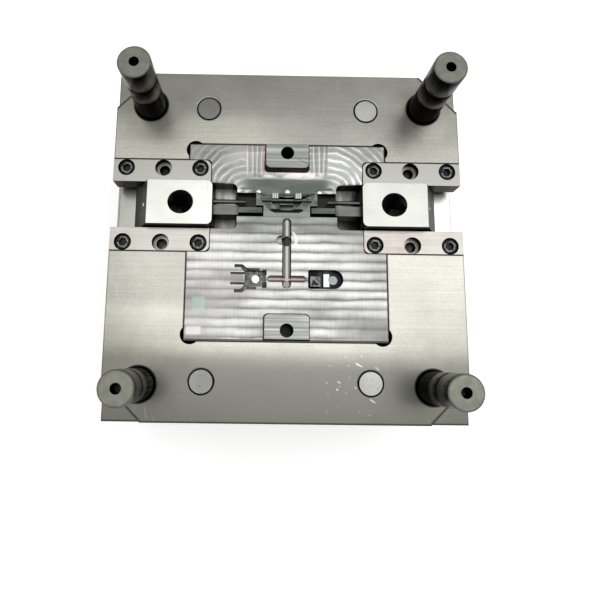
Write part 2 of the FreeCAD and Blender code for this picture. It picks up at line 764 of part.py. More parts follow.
def cut_clip_cavity(body):
    """The left cavity: a square body with two thin prongs and two short arms."""
    middle = "-1 * cross_y"
    square = new_sketch(body, "clip_body", "insert_depth")
    add_box(square, "-1 * clip_left", f"{middle} - clip_half", "-1 * clip_right",
            f"{middle} + clip_half")
    pocket(body, square, "clip_depth")
    prongs = new_sketch(body, "clip_prongs", "insert_depth")
    arms = new_sketch(body, "clip_arms", "insert_depth")
    for end in ENDS.values():
        outer = f"{middle} + {end} * (prong_offset + prong_width / 2)"
        inner = f"{middle} + {end} * (prong_offset - prong_width / 2)"
        add_box(prongs, "-1 * prong_end", outer, "-1 * clip_left", inner)
        far = f"{middle} + {end} * (arm_offset + arm_width / 2)"
        near = f"{middle} + {end} * (arm_offset - arm_width / 2)"
        join = f"{middle} + {end} * (clip_half - arm_width / 2)"
        add_polygon(arms, [("-1 * arm_outer", far), ("-1 * arm_inner", far),
                           ("-1 * arm_join", join), ("-1 * clip_left", join),
                           ("-1 * arm_inner - arm_width / 2", near), ("-1 * arm_outer", near)])
    pocket(body, prongs, "prong_depth")
    pocket(body, arms, "prong_depth")


def cut_latch_cavity(body):
    """The right cavity: round at its far end, with a notched block and a bar left standing."""
    middle = "-1 * cross_y"
    outline = new_sketch(body, "latch", "insert_depth")
    add_box(outline, "latch_left", f"{middle} - latch_half", "latch_right - latch_half",
            f"{middle} + latch_half")
    pocket(body, outline, "latch_depth")
    square_corners = [("latch_left", f"{middle} + {end} * latch_half") for end in ENDS.values()]
    dress(body, "Fillet", upright_edges(body, square_corners), "latch_corner_radius")
    drill(body, "latch_end", [("latch_right - latch_half", middle)], "latch_half",
          "insert_depth", "latch_depth")
    block = new_sketch(body, "latch_block", "insert_depth - latch_depth")
    left = "latch_left + latch_block_setback"
    front = f"{middle} - latch_half + latch_block_setback"
    add_box(block, left, front, f"{left} + latch_block", f"{front} + latch_block")
    pad(body, block, "latch_depth - latch_block_drop")
    notch = new_sketch(body, "latch_notch", "insert_depth - latch_block_drop")
    add_polygon(notch, [(f"{left} + {along} * latch_block", f"{front} + {across} * latch_block")
                        for along, across in ((0.15, 0.2), (0.85, 0.2), (0.3, 0.65))])
    pocket(body, notch, "latch_notch_depth")
    bar = new_sketch(body, "latch_bar", "insert_depth - latch_depth")
    left = "latch_left + latch_bar_offset"
    add_box(bar, left, f"{middle} - latch_half", f"{left} + latch_bar", f"{middle} + latch_half")
    pad(body, bar, "latch_depth - latch_bar_drop")


def add_interlocks(body):
    """The raised, drafted blocks that centre the insert on its counterpart."""
    tops = new_sketch(body, "interlock", "insert_depth - dish_depth")
    for end in ENDS.values():
        outer = f"{end} * (insert_length / 2 - insert_fit)"
        inner = f"{end} * (insert_length / 2 - interlock_length)"
        add_box(tops, "-1 * interlock_width / 2", inner, "interlock_width / 2", outer)
    pad(body, tops, "dish_depth + interlock_height", draft="-1 * interlock_draft")
    inner_corners = corners("interlock_width / 2", "(insert_length / 2 - interlock_length)")
    lean = value("(dish_depth + interlock_height) * tan(interlock_draft)")
    dress(body, "Fillet", upright_edges(body, inner_corners, 2 * lean), "interlock_corner")
    drill(body, "lifting", [("0", f"-1 * {LIFTING_Y}"), ("0", LIFTING_Y)],
          "lifting_thread_radius", "insert_depth + interlock_height", "lifting_thread_depth")


def cut_slide_spaces(body):
    """Where the slot and the noses of each slide run into the insert."""
    slots = new_sketch(body, "slide_slot", "insert_depth")
    mouths = new_sketch(body, "slide_mouth", "insert_depth")
    noses = new_sketch(body, "nose_pocket", "insert_depth")
    for side in SLIDES.values():
        add_box(slots, f"{side} * {GIB_START}", "slide_axis_y - slot_width / 2",
                f"{side} * insert_width / 2", "slide_axis_y + slot_width / 2")
        add_box(mouths, f"{side} * ({GIB_START} - slide_lead)", "slide_axis_y - gib_gap / 2",
                f"{side} * {GIB_START}", "slide_axis_y + gib_gap / 2")
        add_box(noses, f"{side} * nose_pocket_end", "slide_axis_y - gib_gap / 2",
                f"{side} * {GIB_START}", "slide_axis_y + gib_gap / 2")
    pocket(body, slots, "slot_depth")
    pocket(body, mouths, "slot_depth")
    pocket(body, noses, "nose_pocket_depth")
    corner_places = [(f"{side} * {GIB_START}", f"slide_axis_y + {end} * slot_width / 2")
                     for side, end in GIB_PAIRS]
    corner_places += [(f"{side} * nose_pocket_end", f"slide_axis_y + {end} * gib_gap / 2")
                      for side, end in GIB_PAIRS]
    dress(body, "Fillet", upright_edges(body, corner_places), "slot_corner_radius")
    window = new_sketch(body, "window", "insert_depth")
    add_box(window, "-1 * nose_pocket_end - nose_gap", "window_front",
            "nose_pocket_end + nose_gap", "window_back")
    pocket(body, window, "window_depth")


def make_core_insert():
    body = new_body("core_insert", z=INSERT_BASE)
    outline = new_sketch(body, "outline")
    half_x = "(insert_width / 2 - insert_fit)"
    half_y = "(insert_length / 2 - insert_fit)"
    add_box(outline, f"-1 * {half_x}", f"-1 * {half_y}", half_x, half_y)
    pad(body, outline, "insert_depth")
    edges = upright_edges(body, corners(half_x, half_y))
    dress(body, "Chamfer", edges, "insert_edge_break")
    cut_dish(body)
    add_interlocks(body)
    cut_slide_spaces(body)
    cut_runner(body)
    cut_clip_cavity(body)
    cut_latch_cavity(body)
    drill(body, "insert_thread", INSERT_SCREWS, "m8_radius + thread_gap", "0",
          "insert_screw_grip + head_sink", up=True)
    drill(body, "gib_thread", INNER_GIB_SCREWS, "m6_radius + thread_gap", "insert_depth - slot_depth",
          "thread_grip + head_sink")
    screw_holes(body, "centre_screw", [("0", "centre_screw_y")], "m5", "0",
                "insert_depth - window_depth")
    for name, (places, radius, sink) in EJECTOR_PINS.items():
        drill(body, name, places, f"{radius} + pin_fit", "0", "insert_depth", up=True)
        drill(body, f"{name}_relief", places, f"{radius} + pin_relief", "0",
              f"insert_depth - {sink} - pin_fit_length", up=True)


def make_centre_core():
    """The replaceable core between the noses: a boat-shaped hollow, two lugs and two rails."""
    body = new_body("centre_core", z=f"{PARTING} - window_depth")
    outline = new_sketch(body, "outline")
    front, back = "window_front + insert_fit", "window_back - insert_fit"
    points = [("centre_front_half", front), ("centre_front_half", "centre_step_y"),
              ("centre_half", "centre_step_y"), ("centre_half", back)]
    mirrored = [(f"-1 * {x}", y) for x, y in reversed(points)]
    add_polygon(outline, points + mirrored)
    pad(body, outline, "window_depth - centre_front_top")
    drill(body, "scoop", [("0", "scoop_y")], "scoop_radius", "window_depth", "scoop_depth")
    drill(body, "boat", [("0", "boat_y")], "boat_radius", "window_depth", "boat_depth")
    bench = new_sketch(body, "bench")
    add_box(bench, "-1 * bench_half", "boat_back", "bench_half", back)
    bench_top = "window_depth - centre_top"
    pad(body, bench, bench_top)
    rails = new_sketch(body, "rails", bench_top)
    for rail in ("rail_front", "rail_rear"):
        add_box(rails, "-1 * bench_half", rail, "bench_half", f"{rail} + rail_width")
    pad(body, rails, "rail_height")
    lugs = new_sketch(body, "lugs", bench_top)
    for side in SLIDES.values():
        middle = f"{side} * lug_offset"
        add_box(lugs, f"{middle} - lug_width / 2", "lug_front", f"{middle} + lug_width / 2", "lug_back")
    pad(body, lugs, "centre_top - lug_top")
    rib = new_sketch(body, "rib", "window_depth - boat_depth")
    add_box(rib, "-1 * rib_half", "rib_y", "rib_half", "rib_y + rail_width")
    pad(body, rib, "boat_depth - centre_top")
    drill(body, "thread", [("0", "centre_screw_y")], "m5_radius + thread_gap", "0",
          "centre_screw_grip + thread_gap", up=True)
    drill(body, "pins", CENTRE_PINS, "centre_pin_radius + pin_fit", "0", "window_depth", up=True)


def make_guide_pin(name, x, y):
    """A shoulder guide pin: head in the underside of the core plate, two oil grooves above it."""
    length = "(plate_thickness + guide_reach)"
    groove_floor = "guide_radius - oil_groove_depth"
    profile = [("0", "0"), ("guide_head_radius", "0"), ("guide_head_radius", "guide_head_height"),
               ("guide_radius", "guide_head_height")]
    for groove in ("oil_groove_low", "oil_groove_high"):
        start = f"plate_thickness + {groove}"
        profile += [("guide_radius", start), (groove_floor, start),
                    (groove_floor, f"{start} + oil_groove_width"),
                    ("guide_radius", f"{start} + oil_groove_width")]
    profile += [("guide_radius", f"{length} - guide_tip_chamfer"),
                ("guide_radius - guide_tip_chamfer", length),
                ("guide_centre_radius", length),
                ("guide_centre_radius", f"{length} - guide_centre_depth"),
                ("0", f"{length} - guide_centre_depth")]
    turned(name, profile, x, y, PLATE_BASE)


# ---------------------------------------------------------------- gibs, slides and their cores
def make_gib(name, side, end):
    """An L-shaped hold-down: it fills its side of the slot and reaches over the slide's wing."""
    body = new_body(name, x=f"{side} * ({GIB_START} + gib_fit)", y="slide_axis_y", z=SLOT_FLOOR)
    section = new_sketch(body, "section", plane="YZ_Plane")
    outer, inner = "(slot_width / 2 - gib_fit)", "gib_gap / 2"
    under, lip = f"({inner} + wing_depth + wing_fit)", "(wing_height + wing_fit)"
    add_polygon(section, [
        (f"{end} * {outer}", "0"), (f"{end} * {outer}", "slot_depth"),
        (f"{end} * {inner}", "slot_depth"), (f"{end} * {inner}", lip),
        (f"{end} * {under}", lip), (f"{end} * {under}", "0")])
    pad(body, section, f"{GIB_LENGTH} - gib_fit", down=side < 0)
    edges = upright_edges(body, [("0", f"{end} * {outer}")])
    dress(body, "Fillet", edges, "gib_corner_radius")
    places = [(f"{side} * (gib_screw_end + {step} * {GIB_SCREW_PITCH} - gib_fit)",
               f"{end} * {GIB_SCREW_Y}") for step in range(3)]
    screw_holes(body, "screw", places, "m6", "slot_depth", "slot_depth", from_top=True)


def make_slide_body(name, side):
    """The slide: a block with a sloped heel, two wings under the gibs and the angle pin's bore."""
    body = new_body(f"slide_body_{name}", x=f"{side} * {SLIDE_FRONT}", y="slide_axis_y",
                    z=f"{SLOT_FLOOR} + slide_fit")
    foot = f"(slide_length + {SLIDE_HEIGHT} * tan(heel_angle))"
    block = new_sketch(body, "block", plane="XZ_Plane")
    add_polygon(block, [("0", "0"), (f"{side} * {foot}", "0"),
                        (f"{side} * slide_length", SLIDE_HEIGHT), ("0", SLIDE_HEIGHT)])
    pad(body, block, "slide_width", symmetric=True)
    fronts = [("0", f"{end} * slide_width / 2") for end in ENDS.values()]
    dress(body, "Fillet", upright_edges(body, fronts), "slide_corner_radius")
    wings = new_sketch(body, "wings", plane="XZ_Plane")
    wing_top = "(wing_height - slide_fit)"
    add_polygon(wings, [(f"{side} * slide_corner_radius", "0"), (f"{side} * {foot}", "0"),
                        (f"{side} * ({foot} - {wing_top} * tan(heel_angle))", wing_top),
                        (f"{side} * slide_corner_radius", wing_top)])
    pad(body, wings, "gib_gap + 2 * wing_depth", symmetric=True)
    cut_slide_bore(body, side)
    tail = new_sketch(body, "tail_pocket", f"{SLIDE_HEIGHT} - slide_rise - tail_top + slide_fit")
    add_box(tail, "0", "-1 * tail_front - slide_fit", f"{side} * (tail_length + slide_fit)",
            "tail_back + slide_fit")
    pocket(body, tail, "nose_pocket_depth - tail_top - nose_gap + 2 * slide_fit")
    drill(body, "core_dowel", [(f"{side} * core_dowel_setback", "0")],
          "core_dowel_radius + thread_gap", "0", "core_dowel_length + slide_fit", up=True)
    dimples = [(f"{side} * (detent_offset_x + slide_lead - slide_fit - {step} * slide_travel)",
                "detent_offset_y") for step in (0, 1)]
    drill(body, "dimple", dimples, "dimple_radius", "0", "dimple_depth", up=True)


def cut_slide_bore(body, side):
    """The leaning bore of the angle pin, and the tapped hole in the middle of the heel."""
    bore = new_sketch(body, "angle_pin_bore", SLIDE_HEIGHT)
    bind(bore, "AttachmentOffset.Base.x", f"{side} * (angle_pin_offset + slide_lead - slide_fit)")
    offset = bore.AttachmentOffset
    offset.Rotation = FreeCAD.Rotation(FreeCAD.Vector(0, -side, 0), value("angle_pin_tilt"))
    bore.AttachmentOffset = offset
    bind(bore, "AttachmentOffset.Rotation.Angle", "angle_pin_tilt")
    add_circle(bore, "0", "0", "angle_pin_bore_radius")
    pocket(body, bore, f"4 * {SLIDE_HEIGHT}", symmetric=True)
    jack_level = f"({SLIDE_HEIGHT} - slide_rise)"
    heel = f"(slide_length + ({SLIDE_HEIGHT} - {jack_level}) * tan(heel_angle))"
    jack = new_sketch(body, "jack_hole", f"{side} * ({heel} - jack_hole_depth)", plane="YZ_Plane")
    add_circle(jack, "0", jack_level, "jack_hole_radius")
    pocket(body, jack, "2 * jack_hole_depth", up=side > 0)


def make_slide_core(name, side):
    """The moulding nose of a slide: a tail let into the slide, a blade, a finger and a rod."""
    body = new_body(f"slide_core_{name}", x=f"{side} * {SLIDE_FRONT}", y="slide_axis_y", z=PARTING)

    def reach(end):
        return f"-1 * {side} * ({SLIDE_FRONT} - {end})"

    bottom = "(nose_pocket_depth - nose_gap)"
    tail = new_sketch(body, "tail", "-1 * tail_top")
    add_box(tail, "0", "-1 * tail_front", f"{side} * tail_length", "tail_back")
    pad(body, tail, f"{bottom} - tail_top", down=True)
    blade = new_sketch(body, "blade", "-1 * nose_gap")
    blade_root = reach("(nose_pocket_end + nose_gap)")
    add_box(blade, "0", "-1 * blade_front", blade_root, "blade_back")
    pad(body, blade, f"{bottom} - nose_gap", down=True)
    blade_tip = new_sketch(body, "blade_tip", "-1 * nose_gap")
    add_box(blade_tip, blade_root, "-1 * blade_front", reach("blade_end"), "blade_back")
    pad(body, blade_tip, "window_depth - 2 * nose_gap", down=True)
    finger = new_sketch(body, "finger", "-1 * finger_top")
    add_box(finger, reach("(blade_end + 1)"), "-1 * finger_front", reach("finger_end"),
            "-1 * finger_back")
    pad(body, finger, "finger_depth", down=True)
    rod = new_sketch(body, "rod", reach("rod_end"), plane="YZ_Plane")
    add_circle(rod, "rod_offset", "-1 * rod_sink", "rod_radius")
    pad(body, rod, f"{SLIDE_FRONT} - rod_end + tail_length / 2", down=side < 0)
    drill(body, "dowel", [(f"{side} * core_dowel_setback", "0")], "core_dowel_radius + thread_gap",
          f"-1 * {bottom}", "core_dowel_length", up=True)


def make_core_dowel(name, side):
    body = new_body(f"slide_core_dowel_{name}",
                    x=f"{side} * ({SLIDE_FRONT} + core_dowel_setback)", y="slide_axis_y",
                    z=f"{SLOT_FLOOR} + 2 * slide_fit")
    circle = new_sketch(body, "circle")
    add_circle(circle, "0", "0", "core_dowel_radius")
    pad(body, circle, "core_dowel_length - slide_fit")


def make_slide_detents():
    """Ball plungers in the slot floors that hold each slide at either end of its travel."""
    body = new_body("slide_detents", z=f"{SLOT_FLOOR} - detent_length")
    barrel = new_sketch(body, "barrel")
    ball = new_sketch(body, "ball", "detent_length - detent_ball_radius")
    for place in detent_places():
        add_circle(barrel, *place, "detent_radius")
        add_circle(ball, *place, "detent_ball_radius")
    pad(body, barrel, "detent_length - detent_ball_radius")
    pad(body, ball, "detent_ball_radius")


# ---------------------------------------------------------------- ejector set
def make_ejector_plates():
    half_x, half_y = EJECTOR_HALF, "mould_length / 2"
    ejector = new_body("ejector_plate", z=EJECTOR_BASE)
    retainer = new_body("ejector_retainer_plate", z=RETAINER_BASE)
    thickness = {ejector: "ejector_thickness", retainer: "retainer_thickness"}
    for body, height in thickness.items():
        outline = new_sketch(body, "outline")
        add_box(outline, f"-1 * {half_x}", f"-1 * {half_y}", half_x, half_y)
        pad(body, outline, height)
        edges = upright_edges(body, corners(half_x, half_y))
        dress(body, "Chamfer", edges, "edge_break")
        drill(body, "pillar", PILLAR_PLACES, "pillar_radius + pillar_gap", height, height)
    screw_holes(ejector, "screw", EJECTOR_SCREWS, "m6", "0", "ejector_thickness")
    drill(retainer, "screw", EJECTOR_SCREWS, "m6_radius + thread_gap", "0",
          "thread_grip + head_sink", up=True)
    drill(retainer, "return", RETURN_PLACES, "return_radius + thread_gap", "retainer_thickness",
          "retainer_thickness")
    drill(retainer, "return_head", RETURN_PLACES, "return_head_radius + head_gap", "0",
          "return_head_height", up=True)
    for name, (places, radius, sink) in EJECTOR_PINS.items():
        drill(retainer, name, places, f"{radius} + thread_gap", "retainer_thickness",
              "retainer_thickness")
        drill(retainer, f"{name}_head", places, f"{radius} + pin_head_extra + head_gap", "0",
              "pin_head_height", up=True)


def make_return_pin(name, x, y):
    """A return pin: head between the ejector plates, tip flush with the parting plane."""
    length = f"({PARTING} - {RETAINER_BASE})"
    profile = [("0", "0"), ("return_head_radius", "0"), ("return_head_radius", "return_head_height"),
               ("return_radius", "return_head_height"), ("return_radius", length), ("0", length)]
    turned(name, profile, x, y, RETAINER_BASE)


def make_ejector_pins(name, places, radius, sink):
    body = new_body(name, z=RETAINER_BASE)
    shank = new_sketch(body, "shank")
    head = new_sketch(body, "head")
    for x, y in places:
        add_circle(shank, x, y, radius)
        add_circle(head, x, y, f"{radius} + pin_head_extra")
    pad(body, head, "pin_head_height")
    pad(body, shank, f"{PARTING} - {RETAINER_BASE} - {sink}")
    return body


def cut_puller_hook(body):
    """The hooked tip that pulls the sprue out of the fixed half."""
    tip = f"{PARTING} - {RETAINER_BASE} - puller_sink"
    hook = new_sketch(body, "hook", plane="XZ_Plane")
    waist = "puller_radius / 3"
    add_polygon(hook, [("-1 * puller_radius * 2", tip), ("-1 * puller_radius * 2", f"{tip} - puller_hook"),
                       (waist, f"{tip} - puller_hook"), (f"-1 * {waist}", tip)])
    pocket(body, hook, "4 * puller_radius", symmetric=True)


def spring_shape():
    """One open coil of flat wire, wound up from the origin."""
    height = value(f"{PLATE_BASE} + spring_pocket_depth - {RETAINER_TOP}")
    wire_width = value("spring_wire_width")
    wire_height = value("spring_wire_height")
    outer = value("spring_outer_radius")
    turns = value("spring_turns")
    pitch = (height - wire_height) / turns
    helix = Part.makeHelix(pitch, pitch * turns, outer - wire_width / 2)
    section = Part.makePolygon([
        FreeCAD.Vector(outer - wire_width, 0, -wire_height / 2),
        FreeCAD.Vector(outer, 0, -wire_height / 2),
        FreeCAD.Vector(outer, 0, wire_height / 2),
        FreeCAD.Vector(outer - wire_width, 0, wire_height / 2),
        FreeCAD.Vector(outer - wire_width, 0, -wire_height / 2)])
    coil = Part.Wire(helix.Edges).makePipeShell([section], True, True)
    coil.translate(FreeCAD.Vector(0, 0, wire_height / 2))
    return coil


def make_return_springs():
    """The four springs that carry the ejector plates back down."""
    coil = spring_shape()
    coils = []
    for x, y in RETURN_PLACES:
        placed = coil.copy()
        placed.translate(FreeCAD.Vector(value(x), value(y), 0))
        coils.append(placed)
    springs = doc.addObject("Part::Feature", "return_springs")
    springs.Shape = Part.makeCompound(coils)
    springs.Placement = FreeCAD.Placement(FreeCAD.Vector(0, 0, value(RETAINER_TOP)),
                                          FreeCAD.Rotation())


def make_rest_buttons():
    body = new_body("rest_buttons", z="clamp_thickness")
    stems = new_sketch(body, "stems")
    buttons = new_sketch(body, "buttons")
    for x, y in REST_PLACES:
        add_circle(stems, x, y, "rest_stem_radius")
        add_circle(buttons, x, y, "rest_radius")
    pad(body, buttons, "rest_height")
    pad(body, stems, "rest_stem_length", down=True)


def make_support_pillars():
    body = new_body("support_pillars", z=SPACER_BASE)
    pillars = new_sketch(body, "pillars")
    for x, y in PILLAR_PLACES:
        add_circle(pillars, x, y, "pillar_radius")
    pad(body, pillars, "spacer_height")
    drill(body, "screw", PILLAR_PLACES, "m8_radius + thread_gap", "0",
          "spacer_screw_grip + head_sink", up=True)


# ---------------------------------------------------------------- the whole half mould
make_clamp_plate()
make_core_plate()
make_core_insert()
make_centre_core()
make_slide_detents()
make_ejector_plates()
make_rest_buttons()
make_support_pillars()
make_return_springs()
for slide_name, slide_side in SLIDES.items():
    make_spacer_block(slide_name, slide_side)
    make_slide_body(slide_name, slide_side)
    make_slide_core(slide_name, slide_side)
    make_core_dowel(slide_name, slide_side)
    for end_name, end_side in ENDS.items():
        make_gib(f"gib_{slide_name}_{end_name}", slide_side, end_side)
        make_guide_pin(f"guide_pin_{slide_name}_{end_name}", f"{slide_side} * {GUIDE_X}",
                       f"{end_side} * {GUIDE_Y}")
        make_return_pin(f"return_pin_{slide_name}_{end_name}", f"{slide_side} * {RETURN_X}",
                        f"{end_side} * {RETURN_Y}")
for pin_name, (pin_places, pin_radius, pin_sink) in EJECTOR_PINS.items():
    pin = make_ejector_pins(pin_name, pin_places, pin_radius, pin_sink)
    if pin_name == "sprue_puller_pin":
        cut_puller_hook(pin)

M12_SEAT = "(2 * m12_radius + head_sink)"
M8_SEAT = "(2 * m8_radius + head_sink)"
M6_SEAT = "(2 * m6_radius + head_sink)"
M5_SEAT = "(2 * m5_radius + head_sink)"
cap_screws("mould_bolts", MOULD_BOLTS, M12_SEAT,
           f"{PLATE_BASE} + mould_bolt_grip - {M12_SEAT}", "m12")
cap_screws("spacer_block_screws", SPACER_SCREWS, M8_SEAT,
           f"clamp_thickness + spacer_screw_grip - {M8_SEAT}", "m8")
cap_screws("support_pillar_screws", PILLAR_PLACES, M8_SEAT,
           f"clamp_thickness + spacer_screw_grip - {M8_SEAT}", "m8")
cap_screws("core_insert_screws", INSERT_SCREWS, f"({PLATE_BASE} + {M8_SEAT})",
           f"{POCKET_FLOOR} - {M8_SEAT} + insert_screw_grip", "m8")
cap_screws("centre_core_screw", [("0", "centre_screw_y")], f"({INSERT_BASE} + {M5_SEAT})",
           f"insert_depth - window_depth - {M5_SEAT} + centre_screw_grip", "m5")
cap_screws("ejector_plate_screws", EJECTOR_SCREWS, f"({EJECTOR_BASE} + {M6_SEAT})",
           f"ejector_thickness - {M6_SEAT} + thread_grip", "m6")
cap_screws("gib_screws", INNER_GIB_SCREWS + OUTER_GIB_SCREWS, f"({PARTING} - {M6_SEAT})",
           f"slot_depth - {M6_SEAT} + thread_grip", "m6", heads_up=True)

# ---------------------------------------------------------------- check and write
doc.recompute()
for item in doc.Objects:
    if "Invalid" in item.State or "Error" in item.State:
        raise RuntimeError(f"{item.Name} failed: {item.State}")
pieces = [item for item in doc.Objects
          if item.TypeId in ("PartDesign::Body", "Part::Feature")]
for piece in pieces:
    if piece.Shape.isNull() or not piece.Shape.isValid():
        raise RuntimeError(f"{piece.Label} has no valid shape")
os.makedirs("parts", exist_ok=True)
for piece in pieces:
    piece.Shape.exportStep(f"parts/{piece.Label}.step")
    print(f"{piece.Label}: {len(piece.Shape.Solids)} solids, {piece.Shape.Volume:.0f} mm3")
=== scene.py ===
"""The looks of the moving half of a two-slide injection mould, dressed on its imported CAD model."""

import math

import bmesh
import bpy
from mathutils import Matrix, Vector


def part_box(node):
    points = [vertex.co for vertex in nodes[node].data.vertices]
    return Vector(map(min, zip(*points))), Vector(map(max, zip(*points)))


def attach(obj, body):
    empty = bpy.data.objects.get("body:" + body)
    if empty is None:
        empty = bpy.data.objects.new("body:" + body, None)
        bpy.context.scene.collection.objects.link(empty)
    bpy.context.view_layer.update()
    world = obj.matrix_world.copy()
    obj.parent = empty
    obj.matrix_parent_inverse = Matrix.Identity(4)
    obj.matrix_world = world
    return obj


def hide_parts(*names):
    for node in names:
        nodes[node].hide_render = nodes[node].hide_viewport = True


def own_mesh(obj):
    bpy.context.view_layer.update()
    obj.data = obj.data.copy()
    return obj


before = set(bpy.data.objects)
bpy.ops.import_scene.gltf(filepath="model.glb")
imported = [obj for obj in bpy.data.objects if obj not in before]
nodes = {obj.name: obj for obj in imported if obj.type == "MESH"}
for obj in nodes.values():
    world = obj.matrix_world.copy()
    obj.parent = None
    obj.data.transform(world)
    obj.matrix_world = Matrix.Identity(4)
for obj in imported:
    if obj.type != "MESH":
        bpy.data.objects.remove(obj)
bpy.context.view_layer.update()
scene = bpy.context.scene
MM = 0.001

# ------------------------------------------------------------------------------------------ core plate
# The plate that carries everything: carbon steel, ground on both faces, then handled for years.
# Its grinding lines run along X under a thin oil film, and every joint with a piece let into it has filled
# with dark oil; round the guide pins the plate is painted darker as shade.


def add_node(tree, kind, options=None, inputs=None):
    """Adds one node with its options set and its inputs linked or given a value."""
    node = tree.nodes.new(kind)
    for option, choice in (options or {}).items():
        setattr(node, option, choice)
    for name, source in (inputs or {}).items():
        if isinstance(source, bpy.types.NodeSocket):
            tree.links.new(source, node.inputs[name])
        else:
            node.inputs[name].default_value = source
    return node


class Finish:
    """One surface finish: a metal shader and the patterns that colour, roughen and dent it."""

    def __init__(self, name, colour, metallic=1.0, roughness=0.4):
        self.material = bpy.data.materials.new(name)
        self.material.use_nodes = True
        self.tree = self.material.node_tree
        self.shader = self.tree.nodes["Principled BSDF"]
        self.shader.inputs["Metallic"].default_value = metallic
        self.shader.inputs["Roughness"].default_value = roughness
        if metallic > 0.5:  # oiled steel stays dark where it is seen at a glancing angle
            self.shader.inputs["Specular Tint"].default_value = (0.65, 0.65, 0.65, 1.0)
        where = self.step("ShaderNodeTexCoord").outputs
        self.place = where["Object"]
        self.x, self.y, self.z = self.step("ShaderNodeSeparateXYZ", inputs={"Vector": self.place}).outputs
        facing = self.step("ShaderNodeSeparateXYZ", inputs={"Vector": where["Normal"]})
        self.east, self.north, self.up = facing.outputs
        self.colour = (*colour, 1.0)
        self.normal = None

    def step(self, kind, options=None, inputs=None):
        return add_node(self.tree, kind, options, inputs)

    def math(self, operation, *terms):
        """One sum; further terms go on being added, multiplied or compared in turn."""
        total = terms[0]
        for term in terms[1:] or (0.0,):
            total = self.step("ShaderNodeMath", {"operation": operation}, {0: total, 1: term}).outputs[0]
        return total

    def times(self, first, *others):
        """A product: of masks, it is 1 only where all of them are."""
        return self.math("MULTIPLY", first, *others) if others else first

    def plus(self, *terms):
        return self.math("ADD", *terms)

    def most(self, *terms):
        return self.math("MAXIMUM", *terms)

    def least(self, *terms):
        return self.math("MINIMUM", *terms)

    def off(self, source, level=0.0):
        """How far a source is from a level, either way."""
        return self.math("ABSOLUTE", self.math("SUBTRACT", source, level))

    def rise(self, source, start, end):
        """Goes smoothly from 0 to 1 while the source goes from start to end."""
        inputs = {"Value": source, "From Min": start, "From Max": end}
        return self.step("ShaderNodeMapRange", {"interpolation_type": "SMOOTHSTEP"}, inputs).outputs["Result"]

    def below(self, start, end):
        """Goes from 0 to 1 between two depths under the parting plane."""
        return self.rise(self.z, parting - start, parting - end)

    def repeated(self, source, width, shift):
        """Goes from 0 to 1 over every width of a source; the shift moves its lines, or makes them wander."""
        return self.math("FRACT", self.plus(self.times(source, 1 / width), shift))

    def between(self, source, low, high, soft):
        """1 between two limits, falling to 0 over a soft border outside them."""
        return self.times(self.rise(source, low - soft, low), self.rise(source, high + soft, high))

    def noise(self, scale, detail, stretch=(1, 1, 1), turn=0.0):
        """Cloudy noise, first turned by an angle, then finer along each axis by its stretch."""
        vector = self.place
        if turn:
            inputs = {"Vector": vector, "Angle": turn}
            vector = self.step("ShaderNodeVectorRotate", {"rotation_type": "Z_AXIS"}, inputs).outputs[0]
        vector = self.step("ShaderNodeMapping", inputs={"Vector": vector, "Scale": stretch}).outputs["Vector"]
        inputs = {"Vector": vector, "Scale": scale, "Detail": detail, "Roughness": 0.55}
        return self.step("ShaderNodeTexNoise", inputs=inputs).outputs["Fac"]

    def ramp(self, source, *stops):
        """Colours or grey levels along a source, from (position, level) pairs."""
        node = self.step("ShaderNodeValToRGB", inputs={"Fac": source})
        band = node.color_ramp
        for index, (position, level) in enumerate(stops):
            shade = level if isinstance(level, tuple) else (level, level, level)
            element = band.elements[index] if index < 2 else band.elements.new(position)
            element.position = position
            element.color = (*shade, 1.0)
        return node.outputs["Color"]

    def clouds(self, scale, detail, *stops, **options):
        """Noise, turned into colours or grey levels by a ramp."""
        return self.ramp(self.noise(scale, detail, **options), *stops)

    def apart(self, centre):
        """The distance from an upright line at a centre (x, y)."""
        flat = self.step("ShaderNodeCombineXYZ", inputs={"X": self.x, "Y": self.y}).outputs[0]
        inputs = {0: flat, 1: (*centre, 0.0)}
        return self.step("ShaderNodeVectorMath", {"operation": "DISTANCE"}, inputs).outputs["Value"]

    def spots(self, centres, inner, outer):
        """1 within the inner radius of any of the centres, 0 beyond the outer one."""
        return self.most(*[self.rise(self.apart(centre), outer, inner) for centre in centres])

    def box(self, half_x, half_y, centre=(0.0, 0.0)):
        """How far a place lies outside a rectangle round a centre; inside it is negative."""
        along = self.math("SUBTRACT", self.off(self.x, centre[0]), half_x)
        across = self.math("SUBTRACT", self.off(self.y, centre[1]), half_y)
        return self.most(along, across)

    def patch(self, half_x, half_y, centre=(0.0, 0.0), soft=0.0003):
        """1 inside a rectangle round a centre, falling to 0 over a soft border outside it."""
        return self.rise(self.box(half_x, half_y, centre), soft, 0.0)

    def paint(self, colour, *masks, how="MIX"):
        """Lays a colour over the ones before it, where all the masks let it."""
        if isinstance(colour, tuple):
            colour = (*colour, 1.0)
        inputs = {0: self.times(*masks) if masks else 1.0, 6: self.colour, 7: colour}
        self.colour = self.step("ShaderNodeMix", {"data_type": "RGBA", "blend_type": how}, inputs).outputs[2]

    def dent(self, height, depth, strength):
        """Raises the surface where the height is 1 by a depth in metres."""
        inputs = {"Height": height, "Distance": depth, "Strength": strength}
        if self.normal is not None:
            inputs["Normal"] = self.normal
        self.normal = self.step("ShaderNodeBump", inputs=inputs).outputs["Normal"]

    def done(self, roughness=None):
        """Connects the colour, roughness and dents to the shader, and gives the material."""
        for name, source in (("Base Color", self.colour), ("Roughness", roughness), ("Normal", self.normal)):
            if source is not None:
                self.tree.links.new(source, self.shader.inputs[name])
        return self.material


